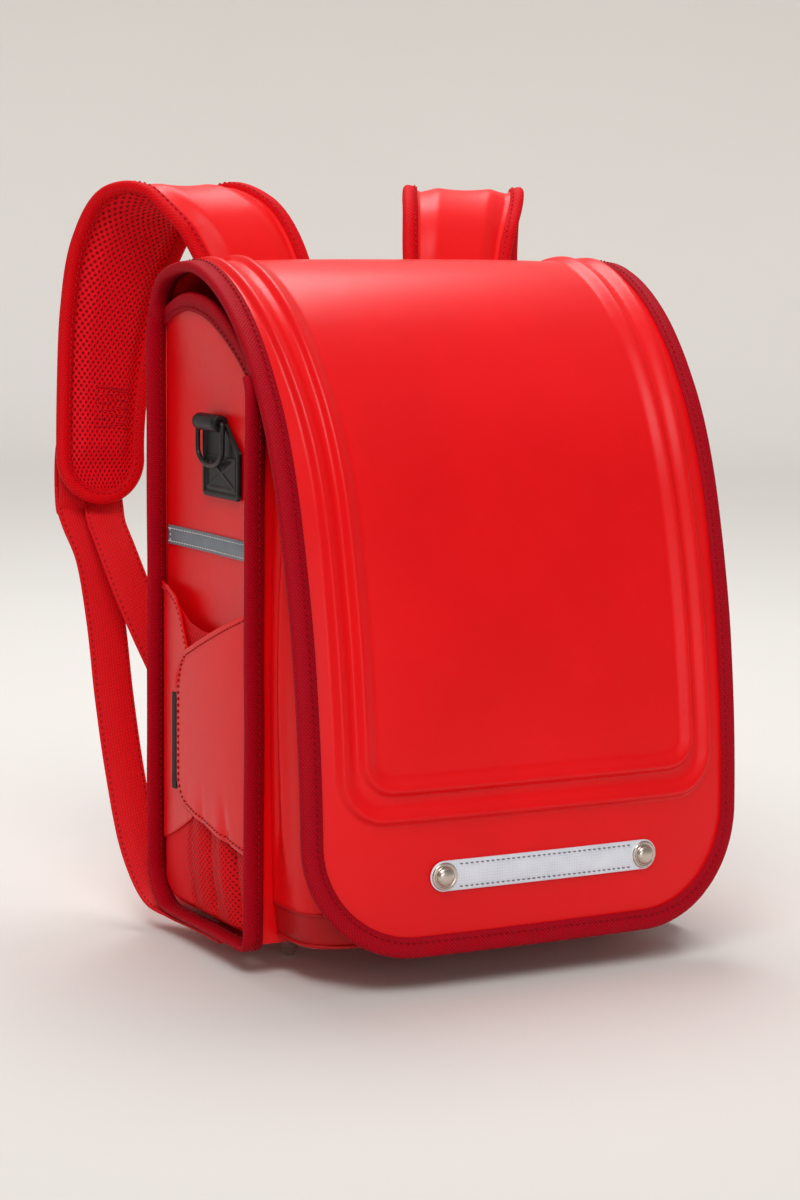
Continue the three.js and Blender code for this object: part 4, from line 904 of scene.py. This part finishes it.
BLACK_LEATHER = calendered_leather("black_split_leather", "#1B1A19", "#151413", 0.42)
BLACK_WIRE = lacquered_wire("black_lacquered_wire", "#191817")
rim_lines = list(zip(TAB_EDGE, TAB_EDGE[1:] + TAB_EDGE[:1]))
box_lines = list(zip(TAB_BOX, TAB_BOX[1:] + TAB_BOX[:1]))
box_lines += [(TAB_BOX[0], TAB_BOX[2]), (TAB_BOX[1], TAB_BOX[3])]
u, v = rows_and_columns(90, 100)
y = -57 - 46 * v
low, high = [np.interp(y, table[:, 0], table[:, 1]) for table in (TAB_LOW, TAB_HIGH)]
z = low + (high - low) * u
rim_gap = nearest_line(y, z, rim_lines)
raised = 0.9 * smooth((3.2 - rim_gap) / 0.9) - 0.3 * smooth((0.5 - rim_gap) / 0.5)
crossed = 0.5 * smooth((1.1 - nearest_line(y, z, box_lines)) / 0.6)
tab = np.stack([side_wall_x(y, z) + 3.2 + np.maximum(raised, crossed), y, z], axis=-1)
for name, side in SIDES.items():
    skin_piece("ring_tab_plate_" + name, mirrored(tab, side), 2.2, BLACK_LEATHER, ["ring_tab_" + name])
    roll_x = side * (side_wall_x(ROLL["y"], ROLL["z"]) + 0.9 + 0.35 + 0.2 + ROLL["radius"])
    lathe_piece("ring_tab_roll_" + name, ROLL_PROFILE, (roll_x, ROLL["y"], ROLL["z"]), (0, 1, 0),
                BLACK_LEATHER)
    corners = [(-RING["half_bar"], 0), (RING["half_bar"], 0)]
    for step in range(RING["bow_steps"] + 1):
        angle = step / RING["bow_steps"] * math.pi
        corners.append((RING["half_bar"] * math.cos(angle),
                        -RING["bow_z"] - RING["bow_height"] * math.sin(angle)))
    corners = np.array(corners + corners[:1])
    run = lengths(corners)
    loop = along_path(np.linspace(0, run[-1], RING["steps"], endpoint=False), run, corners)
    soft = sum(np.roll(loop, shift, axis=0) for shift in range(-3, 4)) / 7
    path = np.column_stack([np.full(len(soft), roll_x), ROLL["y"] + soft[:, 0], ROLL["z"] + soft[:, 1]])
    sideways = steady((1, 0, 0), len(soft))
    sweep_piece("ring_wire_" + name, path, np.cross(loop_way(path), sideways), sideways,
                round_section(RING["wire"], 14), BLACK_WIRE, ["d_ring_" + name],
                closed=True, body="ring_" + name)

# Side pockets
# A gathered cup of knitted polyester mesh between two cut leather pieces, with plain cloth at its back.
# The cup creases where it is sewn in below, and a short black elastic draws its back edge in.
CUP_TOP = np.array([(-127, 180), (-95, 176), (-68, 174), (-49, 177), (-33, 184), (-9, 188)], float)
BACK_LOW_LINE = np.array([
    (-61, 76), (-52, 70), (-46, 67), (-40, 64), (-34, 61), (-22, 56), (-9.5, 52),
], float)
BACK_HIGH_LINE = np.array([
    (-61, 158), (-52, 161), (-46, 171), (-40, 182), (-34, 189), (-22, 193.5), (-9.5, 195),
], float)
FRONT_LOW_LINE = np.array([
    (-127, 62), (-100, 66.5), (-72, 71.5), (-60, 74), (-50, 76), (-44, 79), (-40, 84), (-37.5, 90),
], float)
FRONT_HIGH_LINE = np.array([
    (-127, 192), (-100, 182), (-72, 171), (-60, 166), (-50, 162), (-44, 157), (-40, 150), (-37.5, 143),
], float)
LAYER_STEP = 1.5
CUT_CREASE = 0.35
BAND = {"y": -34.0, "low": 84, "high": 137, "half_width": 2.7}


def cup_x(y, z, layer=0.0, creased=1.0):
    """The side pocket's outer face: a low swell with upright creases that deepen toward the bottom seam."""
    across = np.sin(math.pi * np.clip((y + 127) / 117.5, 0, 1))
    swell = 4.1 * np.sqrt(across) * (0.25 + 0.75 * smooth((z - 21) / 30))
    fade = smooth((100 - z) / 45) * smooth((z - 14) / 14) * smooth(across / 0.25)
    lean = (80 - z) * 0.16
    deep = -4.2 * np.exp(-((y + 99 + lean) / 3.2) ** 2) + 1.8 * np.exp(-((y + 90 + lean * 0.7) / 4.5) ** 2)
    small = -2.4 * np.exp(-((y + 72 + lean * 0.4) / 3.0) ** 2) + 1.0 * np.exp(-((y + 63) / 4.0) ** 2)
    edge = -1.3 * np.exp(-((y + 52 - lean * 0.3) / 2.6) ** 2)
    edge = edge + 0.7 * np.sin(y / 5.3 + np.sin(z / 11)) * across
    return 126.45 + swell + fade * (deep + small + edge) * creased + LAYER_STEP * layer


def knitted_mesh(name, colour, hole_shade, pitch_mm, plain_from=None, depth=0.0005):
    """Warp-knitted mesh: yarn loops around staggered open holes, painted as dark dots in rows for the shade
    seen through them.
    """
    made, tree, shader = new_material(name)
    lay = lay_place(tree)
    parts = add_node(tree, "ShaderNodeSeparateXYZ", Vector=lay)
    waves = []
    for axis, pitch in (("X", pitch_mm), ("Y", pitch_mm * 1.15)):
        turn = add_node(tree, "ShaderNodeMath", {"operation": "MULTIPLY"}, _0=parts.outputs[axis])
        turn.inputs[1].default_value = math.pi * 1000 / pitch
        wave = add_node(tree, "ShaderNodeMath", {"operation": "COSINE"}, _0=turn.outputs["Value"])
        waves.append(wave.outputs["Value"])
    holes = add_node(tree, "ShaderNodeMath", {"operation": "MAXIMUM"}, _0=product(tree, *waves))
    holes.inputs[1].default_value = 0
    opened = holes.outputs["Value"]
    if plain_from is not None:
        spot = add_node(tree, "ShaderNodeSeparateXYZ", Vector=object_place(tree))
        zone = add_node(tree, "ShaderNodeMapRange", {
            "From_Min": plain_from + 0.001, "From_Max": plain_from - 0.001}, Value=spot.outputs["Y"])
        opened = product(tree, opened, zone.outputs["Result"])
    strands = bump(tree, noise(tree, lay, 1500.0), 0.3, 0.0001)
    dress(tree, shader, {"Roughness": 0.6, "Specular IOR Level": 0.15},
          # Painted shade: the holes take the darker colour, standing in for the shaded inside seen through
          # the openings.
          Base_Color=ramp(tree, opened, colour, hole_shade, 0.3, 0.75),
          Normal=bump(tree, opened, 0.9, depth, strands, invert=True))
    return made


def woven_elastic(name, colour):
    """Woven elastic: fine rubber cords under black yarn that show as even ribs."""
    made, tree, shader = new_material(name)
    ribs = add_node(tree, "ShaderNodeTexWave", {"bands_direction": "X", "Scale": 314.0},
                    Vector=lay_place(tree))
    cords = ribs.outputs["Fac"]
    dress(tree, shader, {"Roughness": 0.8}, Base_Color=ramp(tree, cords, "#0E0D0D", colour),
          Normal=bump(tree, cords, 0.6, 0.0002))
    return made


def inset_line(points, gap):
    """A line moved sideways, to its left as it runs, and drawn with close points."""
    points = np.asarray(points, float)
    run = lengths(points)
    fine = along_path(np.linspace(0, run[-1], int(run[-1] / 2) + 2), run, points)
    along = unit(np.gradient(fine, axis=0))
    return fine + gap * np.column_stack([-along[:, 1], along[:, 0]])


# The second colour is painted shade inside the pocket mesh's holes.
POCKET_KNIT = knitted_mesh("pocket_mesh_knit", "#E20614", "#8A0210", 1.4, plain_from=0.0085)
ELASTIC = woven_elastic("black_woven_elastic", "#262423")


def lip(high, z):
    """How far a cut edge stands proud near its upper line."""
    return 1.1 * np.exp(-((high - z) / 3.5) ** 2)


def pocket_cut(low_line, high_line, rows, columns, layer, creased):
    """One layer of the side pocket between a lower and an upper cut edge, rows going up."""
    u, v = rows_and_columns(rows, columns)
    y = low_line[-1, 0] + (low_line[0, 0] - low_line[-1, 0]) * v
    low, high = [np.interp(y, line[:, 0], line[:, 1]) for line in (low_line, high_line)]
    z = low + (high - low) * u
    rise = lip(high, z) if layer else 0
    return np.stack([cup_x(y, z, layer, creased) + rise, y, z], axis=-1)


seam_y = np.linspace(-127, -9, 40)
cup_low_line = np.column_stack([seam_y, side_wall_low(seam_y) + 2])
LEATHER_CUTS = {
    "back": (BACK_LOW_LINE, BACK_HIGH_LINE, 1),
    "front": (FRONT_LOW_LINE, FRONT_HIGH_LINE, 2),
}
for name, side in SIDES.items():
    cup = mirrored(pocket_cut(cup_low_line, CUP_TOP, 96, 110, 0, 1.0), side)
    skin_piece("side_pocket_cup_" + name, cup, 0.9, POCKET_KNIT, ["side_pocket_mesh_" + name])
    for end, (low_line, high_line, layer) in LEATHER_CUTS.items():
        cut = mirrored(pocket_cut(low_line, high_line, 70, 60, layer, CUT_CREASE), side)
        skin_piece(f"side_pocket_{end}_leather_{name}", cut, 1.3, BODY_LEATHER,
                   [f"side_pocket_{end}_piece_{name}"])
    seams = {
        "front": (np.vstack([FRONT_HIGH_LINE, FRONT_LOW_LINE[::-1]]), -2.6, 2),
        "back": (np.vstack([BACK_HIGH_LINE[::-1], BACK_LOW_LINE[:1]]), 2.6, 1),
    }
    for end, (line, gap, layer) in seams.items():
        row = inset_line(line, gap)
        top_line = FRONT_HIGH_LINE if end == "front" else BACK_HIGH_LINE
        high = np.interp(row[:, 0], top_line[:, 0], top_line[:, 1])
        face = cup_x(row[:, 0], row[:, 1], layer, CUT_CREASE) + lip(high, row[:, 1])
        path = np.column_stack([side * face, row])
        stitch_row(f"side_pocket_{end}_stitches_{name}", path, steady((side, 0, 0), len(path)),
                   DARK_THREAD if end == "front" else RED_THREAD, 3.4, 2.3, 0.42)
    z = np.linspace(BAND["low"], BAND["high"], 30)
    y = np.full(len(z), BAND["y"])
    path = np.column_stack([side * (cup_x(y, z, 1.75, CUT_CREASE) + 0.2), y, z])
    sweep_piece("side_pocket_elastic_band_" + name, path, steady((0, 1, 0), len(z)),
                steady((side, 0, 0), len(z)), soft_slab(BAND["half_width"], 0.55, 0.5), ELASTIC,
                ["side_pocket_elastic_" + name])

# Shoulder straps
# Foam-padded straps with coated leather outside and knitted air mesh inside, bound in ribbed tape.
# They rise from the back, arch over and hang down to a rounded end with a sewn patch on the mesh.
STRAP_LINE = np.array([
    (62, 3.2, 322), (62.5, 3.6, 346), (65, 10, 370), (75, 25, 395), (90, 47, 406.5), (103, 67, 399),
    (112, 80, 376), (119, 86, 340), (124, 87, 298), (127, 84, 262), (127.5, 79.5, 231.5),
], float)
EDGE_TAPE = {"inner": -6, "outer": 1.9, "half": 3.4, "corner": 3.0, "seam": 4.4}
STRAP = {"root": 31.5, "top": 34, "end": 25, "round": 25, "edge": 1.15, "padding": 3.9}
strap_run = smooth_curve(STRAP_LINE)
strap_total = lengths(strap_run)
STRAP_LENGTH = strap_total[-1]
strap_way = unit(np.gradient(strap_run, axis=0))


def strap_half(s):
    half = np.where(s < 0.4, STRAP["root"] + (STRAP["top"] - STRAP["root"]) * smooth(s / 0.4),
                    STRAP["top"] + (STRAP["end"] - STRAP["top"]) * smooth((s - 0.4) / 0.5))
    past = np.clip((s * STRAP_LENGTH - (STRAP_LENGTH - STRAP["round"])) / STRAP["round"], 0, 1)
    return half * np.sqrt(np.maximum(0, 1 - past ** 2))


def run_frames(line, total, way, s):
    """The place, the way across and the way out at shares s of a hanging band's middle line."""
    at = s * total[-1]
    along = unit(along_path(at, total, way))
    across = unit(np.array([1.0, 0, 0]) - along[..., :1] * along)
    return along_path(at, total, line), across, unit(np.cross(across, along))


def strap_point(wide, s, face):
    """A point on a strap's outer face (face 1) or inner face (face -1), wide from -1 to 1 across."""
    place, across, out = run_frames(strap_run, strap_total, strap_way, s)
    swell = STRAP["padding"] * smooth((s - 0.06) / 0.16) * (1 - smooth((s - 0.89) / 0.055))
    fill = smooth((0.76 - np.abs(wide)) / 0.34)
    crease = 0.5 * np.exp(-((np.abs(wide) - 0.74) / 0.025) ** 2) * (face > 0)
    lift = STRAP["edge"] + swell * fill - crease * (swell > 1)
    return place + across * (wide * strap_half(s))[..., None] + out * (face * lift)[..., None]


def closed_shell(name, outer, behind, material, nodes=()):
    """A cushion or slab closed between two faces that were drawn with the same rows and columns."""
    loop = np.concatenate([outer, behind[:, ::-1]], axis=1)
    back_loop = np.concatenate([behind, outer[:, ::-1]], axis=1)
    grid = np.concatenate([(loop[:1] + back_loop[:1]) / 2, loop, (loop[-1:] + back_loop[-1:]) / 2], axis=0)
    columns = outer.shape[1]
    u = lengths(outer[len(outer) // 3]) * 0.001
    u = np.concatenate([u, u[-1] + u[-1] - u[::-1], [2 * u[-1]]])
    v = lengths(grid[:, columns // 2]) * 0.001
    return grid_piece(name, grid, np.stack(np.meshgrid(u, v), axis=-1), material, nodes)


def woven_webbing(name, colour, shade, pitch_mm):
    """Polyester webbing: thick flat yarns in a close herringbone that catches the light in short slants."""
    made, tree, shader = new_material(name)
    lay = lay_place(tree)
    both = product(tree, bands(tree, lay, "DIAGONAL", pitch_mm), bands(tree, lay, "X", pitch_mm * 1.6))
    dress(tree, shader, {"Roughness": 0.6, "Specular IOR Level": 0.2},
          Base_Color=ramp(tree, both, shade, colour, 0.0, 0.6), Normal=bump(tree, both, 0.7, 0.0003))
    return made


STRAP_LEATHER = calendered_leather("strap_red_leather", "#EE1418", "#E61014", 0.4)
STRAP_TAPE = ribbed_tape("red_grosgrain", "#EA0614", "#C4020E", 1.2)
# The second colour is painted shade inside the air mesh's holes.
AIR_MESH = knitted_mesh("air_mesh_knit", "#E4061A", "#8A0210", 2.0, depth=0.001)
WEBBING = woven_webbing("red_webbing", "#E80818", "#C8020F", 1.0)
end_start = 1 - STRAP["round"] / STRAP_LENGTH
strap_rows = np.concatenate([np.linspace(0, end_start, 190, endpoint=False),
                             end_start + (1 - end_start) * np.sin(np.linspace(0, math.pi / 2, 26))])
strap_columns = np.sin(np.linspace(-math.pi / 2, math.pi / 2, 61) * 0.8) / math.sin(math.pi * 0.4)
s, wide = np.meshgrid(strap_rows, strap_columns, indexing="ij")
middle = (strap_point(wide, s, 1) + strap_point(wide, s, -1)) / 2
half_out = unit(strap_point(wide, s, 1) - strap_point(wide, s, -1))
edge_s = np.concatenate([strap_rows, strap_rows[::-1][1:]])
edge_side = np.concatenate([np.ones(len(strap_rows)), -np.ones(len(strap_rows) - 1)])
place, across_s, out_s = run_frames(strap_run, strap_total, strap_way, edge_s)
strap_edge = place + across_s * (edge_side * strap_half(edge_s))[:, None]
edge_along = unit(np.gradient(strap_edge, axis=0))
outward = unit(np.cross(edge_along, out_s))
outward = outward * np.sign(np.sum(outward[:60] * across_s[:60]))
keep_edge = strap_rows > 0.03
keep_edge = np.concatenate([keep_edge, keep_edge[::-1][1:]])
PATCH = {"s": 0.825, "half_s": 0.037, "wide": -0.2, "half_wide": 0.42, "turns": 11}
for name, side in SIDES.items():
    turned = np.array([side, 1, 1])
    leather = closed_shell("strap_leather_" + name, strap_point(wide, s, 1) * turned,
                           (middle + half_out * 0.05) * turned, STRAP_LEATHER,
                           ["shoulder_strap_leather_" + name])
    pad = closed_shell("strap_air_mesh_" + name, strap_point(wide, s, -1) * turned,
                       (middle - half_out * 0.05) * turned, AIR_MESH, ["shoulder_strap_mesh_" + name])
    path, way, face = [part[keep_edge] * turned for part in (strap_edge, outward, out_s)]
    sweep_piece("strap_tape_" + name, path, way, face, tape_section(EDGE_TAPE), STRAP_TAPE,
                ["shoulder_strap_binding_" + name])
    for layer, lift in (("outer", 1), ("inner", -1)):
        row = path - way * EDGE_TAPE["seam"] + face * (lift * EDGE_TAPE["half"])
        stitch_row(f"strap_stitches_{layer}_{name}", row, face * lift, RED_THREAD)
    corner_s = PATCH["s"] + PATCH["half_s"] * np.array([-1, 1, 1, -1, -1])
    corner_wide = PATCH["wide"] + PATCH["half_wide"] * np.array([-1, -1, 1, 1, -1])
    zigzag_s = PATCH["s"] + PATCH["half_s"] * np.linspace(-1, 1, PATCH["turns"])
    zigzag_wide = PATCH["wide"] + PATCH["half_wide"] * 0.9 * (-1) ** np.arange(PATCH["turns"])
    box_s = np.concatenate([corner_s, zigzag_s])
    box_wide = np.concatenate([corner_wide, zigzag_wide])
    at = np.linspace(0, len(box_s) - 1, 40 * len(box_s))
    box_s, box_wide = [np.interp(at, np.arange(len(values)), values) for values in (box_s, box_wide)]
    row = strap_point(box_wide, box_s, -1) * turned
    outside = run_frames(strap_run, strap_total, strap_way, box_s)[2] * -turned
    stitch_row("strap_patch_stitches_" + name, row, outside, RED_THREAD, 3.4, 2.8, 0.45)

# Strap root cover
# One leather band sewn flat across both strap roots, with a row of stitches along each long edge.
COVER = {"half": 112, "low": 312, "high": 332, "lift": 8.5, "base": 0.6, "seam": 3}
COVER_X = [0, 20, 26.5, 45, 79, 98, 105, 112]
COVER_RAISED = [0, 0, 1, 1, 1, 1, 0, 0]


def cover_face(x):
    raised = [np.interp(np.abs(x + shift), COVER_X, COVER_RAISED) for shift in (-3, -1.5, 0, 1.5, 3)]
    return BACK_Y + COVER["base"] + 2 + COVER["lift"] * np.mean(raised, axis=0)


u, v = rows_and_columns(14, 120)
x = (2 * v - 1) * COVER["half"]
puff = 0.8 * np.sin(math.pi * u)
cover = np.stack([x, cover_face(x) + puff, COVER["low"] + (COVER["high"] - COVER["low"]) * u], axis=-1)
skin_piece("strap_cover_leather", cover, 2.0, BODY_LEATHER, ["strap_root_cover"])
x = np.linspace(-109, 109, 90)
for edge, z in (("lower", COVER["low"] + COVER["seam"]), ("upper", COVER["high"] - COVER["seam"])):
    row = np.column_stack([x, cover_face(x) + 0.4, np.full(len(x), float(z))])
    stitch_row("strap_cover_stitches_" + edge, row, steady((0, 1, 0), len(x)), RED_THREAD)

# Buckles and webbing
# A black moulded ladder buckle behind each strap end, with red webbing through it.
# One run goes under the bag to the base, a short tail hangs free and a loop hangs round the buckle.
BUCKLE = {"x": 128.5, "y": 93.3, "z": 250.5, "half_width": 15, "half_height": 10.5}
BUCKLE_BARS = {
    "rail_in": ((-1, -1), (-1, 1), 2.2, 2.3),
    "rail_out": ((1, -1), (1, 1), 2.2, 2.3),
    "bar_low": ((-1, -1), (1, -1), 1.8, 1.9),
    "bar_middle": ((-1, 0.1), (1, 0.1), 2.0, 1.7),
    "bar_top": ((-1, 1), (1, 1), 1.8, 1.9),
}
BAR_STEPS = 12
WEB = {"half_width": 12, "half": 0.85, "seam": 10.2, "steps": 150}
LOOP = {"x": 138.5, "y": 92.6, "z": 244, "half_depth": 3.9, "half_height": 20, "steps": 60}
RUNS = {
    "strap_webbing": np.array([
        (139, 93.9, 239.2), (139, 93.6, 235), (139.5, 91.8, 229), (138, 87.5, 219), (133, 79, 200),
        (130, 70, 165), (130, 57, 120), (130, 41, 78), (130.5, 17, 38), (127, -5, 15.5), (123, -30, 11.2),
        (122, -60, 11.2), (122, -95, 11.2)], float),
    "webbing_tail": np.array([
        (123, 91.2, 239.2), (123, 90.6, 235), (123.4, 88, 229), (125, 81, 220), (124, 69, 206),
        (119, 54, 180), (113, 43, 158), (106, 33, 136), (100, 26, 115)], float),
}


def moulded_plastic(name, colour):
    """Injection-moulded acetal: black with a soft satin sheen and a fine spark-eroded texture."""
    made, tree, shader = new_material(name)
    spark = noise(tree, object_place(tree), 3000.0)
    dress(tree, shader, {"Roughness": 0.48}, Base_Color=ramp(tree, spark, "#141313", colour),
          Normal=bump(tree, spark, 0.3, 0.00004))
    return made


ACETAL = moulded_plastic("black_acetal", "#242323")
for name, side in SIDES.items():
    centre = np.array([side * BUCKLE["x"], BUCKLE["y"], BUCKLE["z"]])
    for bar, (start, finish, half_width, half) in BUCKLE_BARS.items():
        ends = np.array([start, finish], float) * (BUCKLE["half_width"], BUCKLE["half_height"] - 1.5)
        line = ends[0] + (ends[1] - ends[0]) * np.linspace(0, 1, BAR_STEPS)[:, None]
        path = centre + np.column_stack([line[:, 0], np.zeros(BAR_STEPS), line[:, 1]])
        along = unit(np.gradient(path, axis=0))
        out = steady((0, 1, 0), BAR_STEPS)
        nodes, slot = (["strap_buckle_" + name], "black_buckle_plastic") if bar == "rail_in" else ((), None)
        sweep_piece(f"buckle_{bar}_{name}", path, np.cross(along, out), out,
                    soft_slab(half_width, half, 1.2, 4), ACETAL, nodes)
    for run_name, table in RUNS.items():
        run = smooth_curve(table)
        total = lengths(run)
        way = unit(np.gradient(run, axis=0))
        place, across, out = run_frames(run, total, way, np.linspace(0, 1, WEB["steps"]))
        turned = np.array([side, 1, 1])
        path, across, out = place * turned, across * turned, out * turned
        sweep_piece(f"{run_name}_band_{name}", path, across, out,
                    soft_slab(WEB["half_width"], WEB["half"], 0.7), WEBBING, [f"{run_name}_{name}"])
        for edge, shift in (("inner", -WEB["seam"]), ("outer", WEB["seam"])):
            row = path + across * shift - out * WEB["half"]
            stitch_row(f"{run_name}_stitches_{edge}_{name}", row, -out, DARK_THREAD, 3.6, 2.2, 0.3)
    angle = np.arange(LOOP["steps"]) / LOOP["steps"] * 2 * math.pi
    path = np.column_stack([
        np.full(len(angle), side * LOOP["x"]),
        LOOP["y"] + LOOP["half_depth"] * np.cos(angle),
        LOOP["z"] + LOOP["half_height"] * np.sin(angle),
    ])
    across = steady((1, 0, 0), len(angle))
    sweep_piece("webbing_loop_" + name, path, across, np.cross(loop_way(path), across),
                soft_slab(WEB["half_width"], 0.8, 0.7), WEBBING, closed=True)
